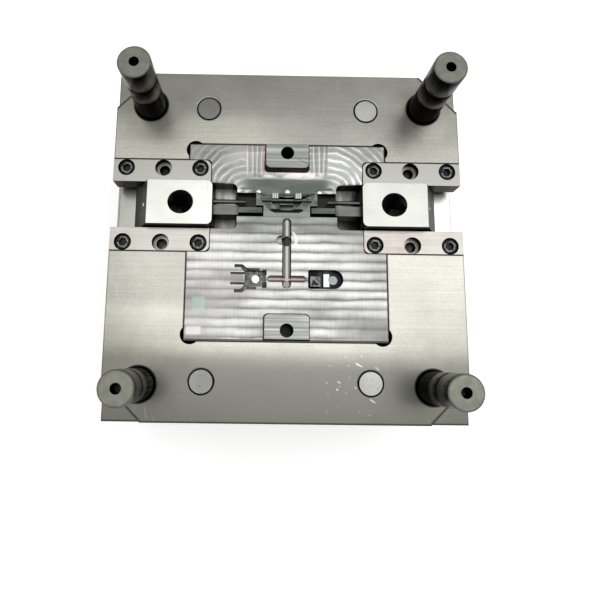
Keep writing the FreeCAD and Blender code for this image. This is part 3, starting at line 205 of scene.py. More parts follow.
def welded(name):
    """The shape of a CAD node, its facets joined where they meet."""
    shape = bmesh.new()
    shape.from_mesh(nodes[name].data)
    bmesh.ops.remove_doubles(shape, verts=shape.verts, dist=0.002 * MM)
    return shape


def copied(name):
    """A copy of a CAD piece, its flat faces whole again."""
    shape = welded(name)
    bmesh.ops.dissolve_limit(shape, angle_limit=math.radians(0.3), verts=shape.verts, edges=shape.edges)
    mesh = bpy.data.meshes.new(f"{name}_dressed")
    shape.to_mesh(mesh)
    shape.free()
    piece = bpy.data.objects.new(f"{name}_dressed", mesh)
    scene.collection.objects.link(piece)
    return piece


def settle(piece, modifier):
    """Puts what a piece's only modifier makes into its mesh."""
    made = bpy.data.meshes.new_from_object(piece.evaluated_get(bpy.context.evaluated_depsgraph_get()))
    piece.modifiers.remove(modifier)
    piece.data = made


def break_edges(piece, width):
    """Every sharp edge gets the small round that a stone or a file leaves."""
    bevel = piece.modifiers.new("edges", "BEVEL")
    bevel.width = width
    bevel.segments = 2
    bevel.limit_method = "ANGLE"
    bevel.angle_limit = math.radians(40)
    bevel.use_clamp_overlap = False
    bevel.harden_normals = True
    settle(piece, bevel)


def stand_for(piece, node, body, material):
    """Puts a finished piece in a CAD node's place."""
    piece.data.materials.clear()
    piece.data.materials.append(material)
    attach(piece, body)
    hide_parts(node)


def dress(names, body, material, width):
    """Copies CAD nodes, breaks their edges and gives them a finish."""
    for name in names:
        piece = copied(name)
        break_edges(piece, width)
        stand_for(piece, name, body, material)


def middle(node):
    """The place of a node's upright axis."""
    low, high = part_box(node)
    return ((low[0] + high[0]) / 2, (low[1] + high[1]) / 2)


plate_low, plate_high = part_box("core_plate")
parting = plate_high[2]
corner_names = [f"{side}_{end}" for side in ("left", "right") for end in ("front", "back")]
guide_places = [middle(f"guide_pin_{corner}") for corner in corner_names]
return_places = [middle(f"return_pin_{corner}") for corner in corner_names]
insert_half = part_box("core_insert")[1][0]
slot_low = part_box("gib_left_front")[0][1]
slot_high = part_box("gib_left_back")[1][1]
slot_middle = (slot_low + slot_high) / 2
gib_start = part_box("gib_right_back")[0][0]

outer_skin = plate_high[0] - 0.0015  # steep faces further out are the plate's outer sides
pocket_relief = 0.061  # x and y of the drilled corners of the insert's pocket
guide_seat_radius = 0.0112

plate = Finish("ground_plate_steel", (0.262, 0.257, 0.230))
plate.paint(plate.clouds(9.0, 3.0, (0.30, 0.84), (0.72, 1.16)), how="MULTIPLY")
# painted light: the whole plate is painted lighter from left to right
plate.paint(plate.ramp(plate.rise(plate.x, -0.130, 0.130), (0.0, 0.86), (1.0, 1.16)), how="MULTIPLY")
grinding = plate.noise(1.0, 3.0, stretch=(22, 1500, 22))
plate.paint(plate.ramp(grinding, (0.25, 0.91), (0.75, 1.09)), how="MULTIPLY")
speckle = plate.noise(900.0, 2.0)
plate.paint(plate.ramp(speckle, (0.30, 0.93), (0.62, 1.04)), how="MULTIPLY")

# painted shade round the guide pins, in the two front corners and along the back and front ends; two paler
# strips of painted light; and scratches
pin_shade_clouds = plate.clouds(34.0, 2.0, (0.40, 0.0), (0.66, 1.0))
# painted shade: dark patches round the guide pins
plate.paint((0.095, 0.097, 0.080), plate.spots(guide_places, 0.008, 0.043), pin_shade_clouds, 0.62)
# painted shade: darker front corners and a darker back end and front end
plate.paint((0.085, 0.083, 0.066), plate.spots([(-0.118, -0.112)], 0.018, 0.110), 0.70)
plate.paint((0.150, 0.147, 0.122), plate.spots([(0.118, -0.116)], 0.010, 0.075), 0.60)
plate.paint((0.140, 0.142, 0.118), plate.rise(plate.y, 0.068, 0.112), 0.42)
plate.paint((0.120, 0.120, 0.106), plate.rise(plate.y, -0.066, -0.084), 0.90)
# painted light: two paler strips across the plate, one at the back and one at the front
lit_strip_back = plate.times(plate.between(plate.y, 0.060, 0.078, 0.014), plate.rise(plate.x, 0.03, -0.05))
lit_strip_front = plate.times(plate.between(plate.y, -0.066, -0.048, 0.012), plate.rise(plate.x, 0.10, -0.05))
plate.paint((1.42, 1.42, 1.40), plate.most(lit_strip_back, lit_strip_front), how="MULTIPLY")
for turn, level in ((0.62, 0.745), (-0.95, 0.752), (1.35, 0.757)):
    score = plate.noise(1.0, 1.0, stretch=(26, 1500, 26), turn=turn)
    fine = plate.ramp(score, (level - 0.018, 0.0), (level, 1.0))
    gate = plate.clouds(16.0, 2.0, (0.54, 0.0), (0.60, 0.40))
    plate.paint((0.50, 0.49, 0.46), fine, gate)
knocks = plate.clouds(1.0, 0.0, (0.745, 0.0), (0.790, 0.6), stretch=(240, 520, 240), turn=0.5)
plate.paint((0.60, 0.59, 0.56), knocks, plate.spots([(0.042, -0.093)], 0.010, 0.026))

# dark lines: round the insert, beside the gibs, round the guide pins, and along the plate's edges
round_insert = plate.rise(plate.off(plate.box(insert_half, insert_half)), 0.00085, 0.00035)
slot_edge = plate.off(plate.off(plate.y, slot_middle), slot_high - slot_middle)
outside_insert = plate.rise(plate.off(plate.x), insert_half - 0.001, insert_half)
beside_slot = plate.times(plate.rise(slot_edge, 0.0007, 0.0003), outside_insert)
guide_distance = plate.least(*[plate.apart(place) for place in guide_places])
rims = plate.rise(plate.off(guide_distance, guide_seat_radius), 0.0011, 0.0004)
plate.paint((0.018, 0.018, 0.015), plate.most(round_insert, beside_slot, rims), 0.94)
pry_line = min(  # |x| + |y| along the slanting edge of the pry notches in the corners
    abs(v.co.x) + abs(v.co.y) for v in nodes["core_plate"].data.vertices
    if abs(v.co.x) > 0.08 and abs(v.co.y) > 0.08 and parting - 0.012 < v.co.z < parting - 0.0015)
slant = plate.plus(plate.off(plate.x), plate.off(plate.y))
notch_edge = plate.between(slant, pry_line - 0.0018, pry_line + 0.0012, 0.0004)
front_edge = plate.rise(plate.y, plate_low[1] + 0.0014, plate_low[1] + 0.0008)
side_edge = plate.times(plate.rise(plate.off(plate.x), plate_high[0] - 0.0009, plate_high[0] - 0.0004), 0.6)
plate.paint((0.035, 0.034, 0.028), plate.most(notch_edge, front_edge, side_edge), 0.9)

# what lies lower: black relief corners, inner walls painted dark as shade, outer sides painted darker as
# shade and rusted, slot floors painted pale as light
reliefs = [(x * pocket_relief, y * pocket_relief) for x in (-1, 1) for y in (-1, 1)]
under = plate.below(0.0005, 0.0012)
plate.paint((0.008, 0.008, 0.008), plate.spots(reliefs, 0.0068, 0.0072), under)
walls = plate.rise(plate.up, 0.80, 0.45)
inside = plate.box(outer_skin, outer_skin)
# painted shade: the walls inside the plate are darkened
inner_wall = plate.times(walls, plate.rise(inside, 0.0, -0.0005))
plate.paint((0.030, 0.030, 0.026), inner_wall, 0.9)
# painted shade on the outer sides; the rust laid over them is the plate's own
outer_wall = plate.times(walls, plate.rise(inside, -0.0005, 0.0))
plate.paint((0.150, 0.145, 0.125), outer_wall, 0.8)
rust = plate.clouds(55.0, 5.0, (0.60, 0.0), (0.70, 0.8))
plate.paint((0.120, 0.062, 0.035), outer_wall, rust)
beside_insert = plate.rise(plate.off(plate.x), insert_half + 0.001, insert_half + 0.005)
clear_of_corners = plate.rise(plate.off(plate.y), 0.071, 0.070)
slot_floor = plate.times(under, beside_insert, clear_of_corners, plate.rise(plate.up, 0.85, 0.95))
# painted light: the slot floors are painted pale, paler towards the right
slot_floor_light = plate.ramp(plate.rise(plate.x, -0.05, 0.05),
                        (0.0, (0.22, 0.22, 0.205)), (1.0, (0.50, 0.50, 0.48)))
plate.paint(slot_floor_light, slot_floor, 0.9)
plate.dent(grinding, 0.00003, 0.5)
plate.dent(speckle, 0.00002, 0.35)
plate_steel = plate.done(plate.clouds(26.0, 4.0, (0.25, 0.22), (0.75, 0.34)))
dress(["core_plate"], "base", plate_steel, 0.35 * MM)

# ------------------------------------------------------------------------------------------ core insert
# The block of tool steel that shapes the moulding, sunk in the plate and screwed from below.
# Its face is left as milled: straight passes along X in the lower half, rings round the two
# slide mouths in the upper half, and smooth ground blocks that centre it on the other half.

insert = Finish("milled_insert_steel", (0.255, 0.256, 0.246))
pass_width = 0.0061
ring_width = 0.0043
streak_width = 0.0034
ring_centre = (0.0281, 0.0340)
branch_y = -0.0250  # the cross runner and the two small cavities beside it

# milled passes along X, smeared and stained in patches, darker in front of the centre core
wander = insert.times(insert.noise(1.0, 3.0, stretch=(60, 190, 60)), 0.42)
passes = insert.repeated(insert.y, pass_width, wander)
bands = insert.ramp(passes, (0.0, 0.30), (0.12, 0.66), (0.34, 1.08), (0.58, 1.32), (0.80, 1.06),
                    (0.92, 0.55), (1.0, 0.30))
patchy = insert.clouds(22.0, 3.0, (0.34, 0.30), (0.58, 1.0), stretch=(0.55, 1.6, 1))
insert.paint(bands, patchy, how="MULTIPLY")
feed = insert.noise(1.0, 2.0, stretch=(900, 70, 70))
insert.paint(insert.ramp(feed, (0.28, 0.91), (0.72, 1.08)), how="MULTIPLY")
insert.paint(insert.clouds(30.0, 3.0, (0.36, 0.60), (0.58, 1.14), stretch=(0.45, 1.5, 1)), how="MULTIPLY")
near_core = insert.between(insert.y, 0.0080, 0.0170, 0.0060)
cloudy = insert.clouds(45.0, 3.0, (0.34, 0.35), (0.64, 1.0), stretch=(0.5, 1.6, 1))
insert.paint((0.055, 0.060, 0.055), near_core, cloudy, 0.85)

# the upper part: rings swept round the slide mouths, and upright streaks beside the back block
upper = insert.rise(insert.y, 0.027, 0.029)
side_x = insert.off(insert.x)
past_x = insert.most(insert.math("SUBTRACT", side_x, ring_centre[0]), 0.0)
past_y = insert.math("SUBTRACT", insert.y, ring_centre[1])
radius = insert.math("SQRT", insert.plus(insert.times(past_x, past_x), insert.times(past_y, past_y)))
wander = insert.times(insert.noise(1.0, 3.0, stretch=(95, 95, 60)), 1.3)
rings = insert.repeated(radius, ring_width, wander)
swept = insert.ramp(rings, (0.0, (0.135, 0.138, 0.132)), (0.25, (0.155, 0.158, 0.150)),
                    (0.45, (0.215, 0.218, 0.210)), (0.60, (0.400, 0.405, 0.395)),
                    (0.74, (0.200, 0.204, 0.198)), (1.0, (0.135, 0.138, 0.132)))
insert.paint(swept, upper)
# painted light: the upper part is painted lighter from left to right
light_across_face = insert.ramp(insert.rise(insert.x, -0.045, 0.045), (0.0, 0.78), (1.0, 1.36))
insert.paint(light_across_face, upper, how="MULTIPLY")
insert.paint((0.185, 0.188, 0.180), upper, insert.clouds(70.0, 4.0, (0.38, 0.0), (0.64, 0.90)))
wander = insert.times(insert.noise(1.0, 2.0, stretch=(120, 30, 30)), 0.9)
upright = insert.repeated(insert.x, streak_width, wander)
streaks = insert.ramp(upright, (0.0, (0.12, 0.12, 0.115)), (0.45, (0.17, 0.172, 0.168)),
                      (0.62, (0.34, 0.345, 0.34)), (0.80, (0.17, 0.172, 0.168)), (1.0, (0.12, 0.12, 0.115)))
streaked_strip = insert.between(side_x, 0.0165, 0.0268, 0.0012)
insert.paint(streaks, streaked_strip, insert.rise(insert.y, 0.043, 0.047), 0.85)

# the smooth dish behind the centre core, with painted highlights on its edges
dish = insert.times(insert.between(insert.y, 0.0300, 0.0416, 0.0016), insert.rise(side_x, 0.0330, 0.0240))
dish_floor = insert.times(insert.below(0.0043, 0.0048), insert.rise(insert.y, 0.0150, 0.0300))
smooth = insert.clouds(60.0, 3.0, (0.30, (0.040, 0.046, 0.040)), (0.72, (0.092, 0.100, 0.090)),
                       stretch=(0.5, 2.0, 1))
insert.paint(smooth, insert.most(dish, dish_floor), 0.95)
glint = insert.times(insert.between(insert.y, 0.0438, 0.0462, 0.0010), insert.rise(side_x, 0.026, 0.022))
insert.paint((0.44, 0.40, 0.385), glint, insert.clouds(140.0, 3.0, (0.42, 0.0), (0.58, 0.9)))
edge_light = insert.times(insert.between(insert.y, 0.0330, 0.0348, 0.0006),
                          insert.between(side_x, 0.0235, 0.0345, 0.0008))
insert.paint((0.40, 0.395, 0.37), edge_light, insert.clouds(200.0, 3.0, (0.38, 0.1), (0.62, 0.9)))
# painted highlights: three bright spots along the dish's edge
highlight_spots = insert.spots([(-0.0187, 0.0336), (0.0006, 0.0338), (0.0221, 0.0334)], 0.0008, 0.0019)
insert.paint((0.60, 0.59, 0.56), highlight_spots, 0.9)

# fly-cut tops of the raised blocks, their flanks painted dark as shade, and brown stain along them
fly_cut = insert.clouds(1.0, 3.0, (0.30, (0.110, 0.116, 0.110)), (0.50, (0.185, 0.190, 0.184)),
                        (0.68, (0.300, 0.304, 0.300)), stretch=(14, 620, 14))
insert.paint(fly_cut, insert.below(-0.0022, -0.0040))
# painted shade: the flanks of the raised blocks are darkened
flank = insert.times(insert.rise(insert.up, 0.80, 0.40), insert.below(0.0045, 0.003))
insert.paint((0.045, 0.032, 0.030), flank, 0.93)
block_edge = insert.between(side_x, 0.0150, 0.0176, 0.0010)
stain = insert.times(block_edge, insert.rise(insert.off(insert.y), 0.044, 0.048))
blotched = insert.clouds(90.0, 4.0, (0.40, 0.0), (0.66, 0.6), stretch=(1, 0.5, 1))
insert.paint((0.20, 0.135, 0.13), stain, blotched)

# everything sunk in the face: steep walls painted black as shade, scraped pocket floors, black out towards
# the slides as painted shade
under_low = insert.times(insert.below(0.0004, 0.0008), insert.rise(insert.y, 0.0165, 0.0160))
under_high = insert.below(0.0054, 0.0060)
steep = insert.rise(insert.up, 0.80, 0.50)
# painted shade: the steep walls of everything sunk in the face are painted black
insert.paint((0.012, 0.012, 0.011), under_low, steep)
insert.paint((0.014, 0.014, 0.013), under_high, steep)
pocket_floor = insert.times(under_high, insert.rise(insert.up, 0.85, 0.95))
scraped = insert.clouds(60.0, 3.0, (0.35, (0.06, 0.06, 0.056)), (0.65, (0.24, 0.237, 0.228)),
                        stretch=(2.5, 0.6, 1))
insert.paint(scraped, pocket_floor)
# painted shade: the pocket floor is black out towards the slides
insert.paint((0.015, 0.015, 0.014), pocket_floor, insert.rise(side_x, 0.0345, 0.0340))

# the clip cavity on the left of the runner: a speckled floor with painted glints, four dark teeth and two
# thin prongs
front_half = insert.rise(insert.y, 0.0, -0.001)
clip_floor = insert.times(insert.below(0.0020, 0.0023), insert.rise(insert.x, -0.0125, -0.0130), front_half)
# the brightest flecks of the speckled floor are painted glints
speckle_and_glints = insert.clouds(330.0, 3.0, (0.32, (0.016, 0.017, 0.015)), (0.58, (0.060, 0.061, 0.056)),
                         (0.70, (0.24, 0.24, 0.23)))
insert.paint(speckle_and_glints, clip_floor)
teeth = insert.most(
    insert.patch(0.0013, 0.0018, (-0.0142, branch_y + 0.0040)),
    insert.patch(0.0013, 0.0018, (-0.0142, branch_y - 0.0042)),
    insert.patch(0.0040, 0.0008, (-0.0215, branch_y + 0.0058)),
    insert.patch(0.0030, 0.0007, (-0.0225, branch_y - 0.0062)))
insert.paint((0.010, 0.010, 0.009), teeth)
insert.paint((0.105, 0.104, 0.098), insert.patch(0.0040, 0.0024, (-0.0318, branch_y), soft=0.0004), 0.75)
prongs = insert.rise(insert.x, -0.0272, -0.0276)
insert.paint((0.014, 0.014, 0.012), clip_floor, prongs)

# the latch cavity on its right: a black floor, a bright bar on a dark seat and a notched block
latch_floor = insert.times(insert.below(0.0035, 0.0040), insert.between(insert.x, 0.0135, 0.0370, 0.0003))
insert.paint((0.006, 0.007, 0.008), latch_floor, front_half)
bar_seat = insert.patch(0.0040, 0.0072, (0.0252, branch_y - 0.0002))
insert.paint((0.012, 0.013, 0.014), insert.below(0.0018, 0.0021), bar_seat)
bar_level = insert.between(insert.z, parting - 0.0028, parting - 0.0024, 0.0001)
bar_top = insert.times(insert.between(insert.x, 0.0225, 0.0282, 0.0003),
                       insert.between(insert.y, branch_y - 0.0043, branch_y + 0.0035, 0.0005))
insert.paint((0.42, 0.41, 0.425), bar_level, bar_top)
block_level = insert.between(insert.z, parting - 0.0027, parting - 0.0006, 0.0001)
block_top = insert.times(block_level, insert.between(insert.x, 0.0148, 0.0225, 0.0002),
                         insert.between(insert.y, branch_y - 0.0055, branch_y + 0.0030, 0.0003))
grainy = insert.clouds(420.0, 2.0, (0.35, (0.035, 0.038, 0.035)), (0.62, (0.125, 0.132, 0.122)))
insert.paint(grainy, block_top)
insert.paint((0.018, 0.018, 0.016), insert.below(0.0012, 0.0016), block_top)

# the runner and its cross branch, painted dark along the sides as shade and bright along the middle of their
# floors as a highlight
runner = insert.times(under_low, insert.patch(0.0031, 0.0238, (0.0, -0.0080)))
branch = insert.times(under_low, insert.patch(0.0126, 0.0023, (0.0, branch_y)))
# painted shade along the sides of the runner floors, and a painted highlight along their middle
runner_side = insert.rise(insert.off(insert.x), 0.0019, 0.0026)
insert.paint(insert.ramp(runner_side, (0.0, (0.060, 0.057, 0.052)), (1.0, (0.020, 0.018, 0.016))), runner)
insert.paint((0.040, 0.022, 0.020), branch, 0.95)
insert.paint((0.235, 0.230, 0.216), runner, insert.rise(insert.off(insert.x, 0.0003), 0.0013, 0.0005), 0.92)
insert.paint((0.200, 0.180, 0.170), branch, insert.rise(insert.off(insert.y, branch_y), 0.0009, 0.0003), 0.85)

# the catch over the sprue puller, and a painted highlight in an arc round it
catch_y = 0.0003
catch = insert.times(insert.below(0.00005, 0.0002), insert.patch(0.0050, 0.0031, (-0.0020, catch_y)))
insert.paint((0.014, 0.014, 0.013), catch, insert.rise(insert.up, 0.95, 0.90))
insert.paint(insert.ramp(insert.off(insert.y, catch_y), (0.0007, 0.20), (0.0011, 0.012)), catch)
# painted highlight: a bright arc round the catch
arc_highlight = insert.between(insert.apart((0.0, catch_y)), 0.0056, 0.0068, 0.0005)
insert.paint((0.360, 0.350, 0.320), arc_highlight, insert.rise(insert.x, 0.0030, 0.0045), 0.8)
insert.paint((0.010, 0.010, 0.009), runner, insert.between(insert.y, 0.0008, 0.0022, 0.0003))

# a dab of teal paint, a dab of chalk, rubbed places and the dark joint round the block
teal_dab = insert.patch(0.0036, 0.0044, (-0.0560, -0.0418), soft=0.0006)
insert.paint((0.170, 0.300, 0.235), teal_dab, insert.clouds(160.0, 4.0, (0.30, 0.35), (0.62, 0.9)), 0.75)
insert.paint((0.42, 0.42, 0.41), insert.patch(0.0042, 0.0022, (-0.0586, -0.0585), soft=0.0006), 0.85)
insert.paint((0.30, 0.285, 0.28), insert.clouds(13.0, 2.0, (0.52, 0.0), (0.70, 0.35)))
rim = insert.times(insert.rise(insert.box(insert_half, insert_half), -0.0009, -0.0003),
                   insert.below(-0.002, -0.001))
front_rim = insert.rise(insert.y, 0.0018 - insert_half, 0.0011 - insert_half)
insert.paint((0.025, 0.024, 0.021), insert.most(rim, front_rim), 0.9)
insert.dent(bands, 0.00006, 0.35)
insert.dent(feed, 0.00003, 0.4)
insert_steel = insert.done(insert.clouds(48.0, 4.0, (0.25, 0.26), (0.75, 0.40)))
dress(["core_insert"], "base", insert_steel, 0.22 * MM)

# ------------------------------------------------------------------------------------------ centre core
# The small replaceable core between the two noses, held by one screw from below.  It is dark
# from the burnt film of the moulding material, and the tops of its two ribbed lugs are rubbed bright.

core = Finish("sooted_core_steel", (0.040, 0.043, 0.040), roughness=0.34)
core.paint(core.clouds(160.0, 4.0, (0.35, (0.028, 0.031, 0.028)), (0.66, (0.110, 0.120, 0.108))))
rib_pitch = 0.0013
rib_phase = 0.4615
ribs = core.repeated(core.x, rib_pitch, rib_phase)
lug = core.times(core.below(0.0022, 0.0018), core.between(core.off(core.x), 0.0050, 0.0100, 0.0002))
core.paint(core.ramp(ribs, (0.0, 0.015), (0.38, 0.34), (0.62, 0.34), (1.0, 0.015)), lug)
shelf = core.times(core.below(0.0030, 0.0026), core.rise(core.y, 0.0245, 0.0240))
core.paint((0.105, 0.108, 0.102), shelf, 0.8)
# painted shade: the steep faces of the centre core are darkened nearly to black
core.paint((0.008, 0.008, 0.008), core.rise(core.up, 0.7, 0.4), 0.85)
core.paint((0.130, 0.134, 0.126), core.rise(core.y, 0.0206, 0.0198), core.rise(core.up, 0.6, 0.8))
core.paint((0.006, 0.006, 0.006), core.patch(0.0106, 0.0011, (0.0, 0.0213), soft=0.0004))
core_steel = core.done()
dress(["centre_core"], "base", core_steel, 0.08 * MM)

# ------------------------------------------------------------------------------------------ guide pins
# Four hardened, ground pins pressed into the plate.  They run in oil, so they look almost black,
# with a brown haze, and are painted lighter on the side towards +x and +y as light; two thin grooves
# hold the oil, and the turned ends stayed brighter.

guide = Finish("oiled_guide_pin_steel", (0.030, 0.029, 0.025), roughness=0.24)
haze = guide.clouds(24.0, 4.0, (0.34, (0.010, 0.010, 0.008)), (0.62, (0.028, 0.026, 0.020)),
                    (0.78, (0.070, 0.050, 0.032)))
guide.paint(haze)
turning_feed = 0.0009
pin_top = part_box("guide_pin_left_front")[1][2]
end_face = guide.rise(guide.z, pin_top - 0.0012, pin_top - 0.0006)
centre_distance = guide.least(*[guide.apart(place) for place in guide_places])
turning = guide.math("SINE", guide.times(centre_distance, 2 * math.pi / turning_feed))
turned_face = guide.ramp(guide.plus(guide.times(turning, 0.25), 0.5), (0.2, (0.128, 0.130, 0.110)),
                         (0.8, (0.176, 0.178, 0.152)))
# painted light and shade: lighter on the sides facing +x and +y, darker on the others
lit_side = guide.plus(guide.times(guide.north, 0.7), guide.times(guide.east, 0.7))
light_and_shade = guide.ramp(guide.rise(lit_side, -0.7, 0.9), (0.15, (0.007, 0.007, 0.006)),
                    (0.45, (0.085, 0.083, 0.072)), (0.75, (0.20, 0.20, 0.175)), (1.0, (0.12, 0.12, 0.105)))
guide.paint(light_and_shade, guide.clouds(40.0, 3.0, (0.30, 0.45), (0.70, 0.85)))
grooves = guide.rise(guide.off(guide.up), 0.10, 0.30)
guide.paint((0.004, 0.004, 0.004), grooves)
guide.paint(turned_face, end_face)
guide.paint(guide.clouds(210.0, 3.0, (0.3, 0.80), (0.7, 1.15)), end_face, how="MULTIPLY")
# painted shade: the centre hole in each pin's end is darkened
centre_hole = guide.rise(centre_distance, 0.0031, 0.0028)
guide.paint((0.012, 0.012, 0.010), centre_hole, guide.rise(guide.z, pin_top - 0.013, pin_top - 0.012), 0.95)
guide.dent(turning, 0.00002, 0.4)
guide.dent(guide.noise(1.0, 2.0, stretch=(30, 30, 1500)), 0.00001, 0.3)
guide_steel = guide.done(guide.ramp(end_face, (0.0, 0.24), (1.0, 0.42)))
dress([f"guide_pin_{corner}" for corner in corner_names], "base", guide_steel, 0.15 * MM)

# ------------------------------------------------------------------------------------------ return pins
# Four pins of the ejector set that come up flush with the parting plane.  Their faces are
# ground grey by the closing halves, each to its own tone, and finely pitted.

returning = Finish("return_pin_steel", (0.215, 0.222, 0.195))
face_tones = (0.205, 0.140, 0.300, 0.280)
for place, tone in zip(return_places, face_tones):
    returning.paint((tone, tone * 1.01, tone * 0.95), returning.spots([place], 0.0085, 0.0090))
returning.paint(returning.clouds(30.0, 3.0, (0.30, 0.82), (0.70, 1.18)), how="MULTIPLY")
return_edge = returning.least(*[returning.apart(place) for place in return_places])
returning.paint((0.030, 0.030, 0.026), returning.rise(return_edge, 0.00705, 0.00735))
returning.paint((0.045, 0.045, 0.040), returning.below(0.0010, 0.0020))
pits = returning.noise(620.0, 2.0)
returning.paint(returning.ramp(pits, (0.27, 0.35), (0.36, 1.0)), how="MULTIPLY")
returning.dent(pits, 0.00002, 0.4)
return_steel = returning.done()
dress([f"return_pin_{corner}" for corner in corner_names], "ejector", return_steel, 0.2 * MM)

# ------------------------------------------------------------------------------------------ gibs
# Four L-shaped hold-downs of tool steel, ground pale; each is screwed down at its two ends, and
# its middle hole is left empty.  Grease has tinted them pink and brown.

gib = Finish("ground_gib_steel", (0.330, 0.325, 0.298), roughness=0.36)
grease = gib.clouds(46.0, 4.0, (0.42, (0.330, 0.325, 0.300)), (0.56, (0.300, 0.268, 0.248)),
                    (0.72, (0.245, 0.190, 0.170)))
gib.paint(grease, gib.clouds(15.0, 2.0, (0.40, 0.0), (0.62, 0.9)))
lines = gib.noise(1.0, 3.0, stretch=(30, 1100, 30))
gib.paint(gib.ramp(lines, (0.25, 0.90), (0.75, 1.10)), how="MULTIPLY")
gib.paint((0.255, 0.250, 0.232), gib.rise(gib.y, slot_middle, slot_middle + 0.01), 0.7)
# painted shade: the sides of the gibs are darkened
gib.paint((0.022, 0.022, 0.018), gib.rise(gib.up, 0.75, 0.35), 0.92)
outer_line = gib.rise(gib.off(gib.off(gib.y, slot_middle), slot_high - slot_middle), 0.0007, 0.0003)
inner_line = gib.rise(gib.off(gib.off(gib.x), gib_start), 0.0006, 0.0002)
gib.paint((0.030, 0.028, 0.024), gib.most(outer_line, inner_line))
gib.paint((0.20, 0.195, 0.18), gib.below(0.0010, 0.0020), gib.rise(gib.up, 0.85, 0.95))
gib.dent(lines, 0.00003, 0.5)
gib_steel = gib.done()
dress([f"gib_{corner}" for corner in corner_names], "base", gib_steel, 0.12 * MM)

# ------------------------------------------------------------------------------------------ cap screws
# Socket head cap screws, black from their oxide bath: knurled heads with a chamfered rim, a hexagon
# socket rubbed grey by the key, and plain shanks.  Each stops at its own turn.

screw_finish = Finish("black_oxide_screws", (0.020, 0.020, 0.019), metallic=0.85, roughness=0.40)
across = screw_finish.step("ShaderNodeAttribute", {"attribute_name": "across"}).outputs["Fac"]
screw_finish.paint(screw_finish.ramp(across, (0.0, 0.016), (0.585, 0.016), (0.62, (0.150, 0.155, 0.155)),
                                     (0.72, (0.130, 0.134, 0.134)), (0.80, 0.012), (1.0, 0.010)))
screw_finish.paint(screw_finish.clouds(500.0, 3.0, (0.30, 0.60), (0.70, 1.25)), how="MULTIPLY")
screw_steel = screw_finish.done()


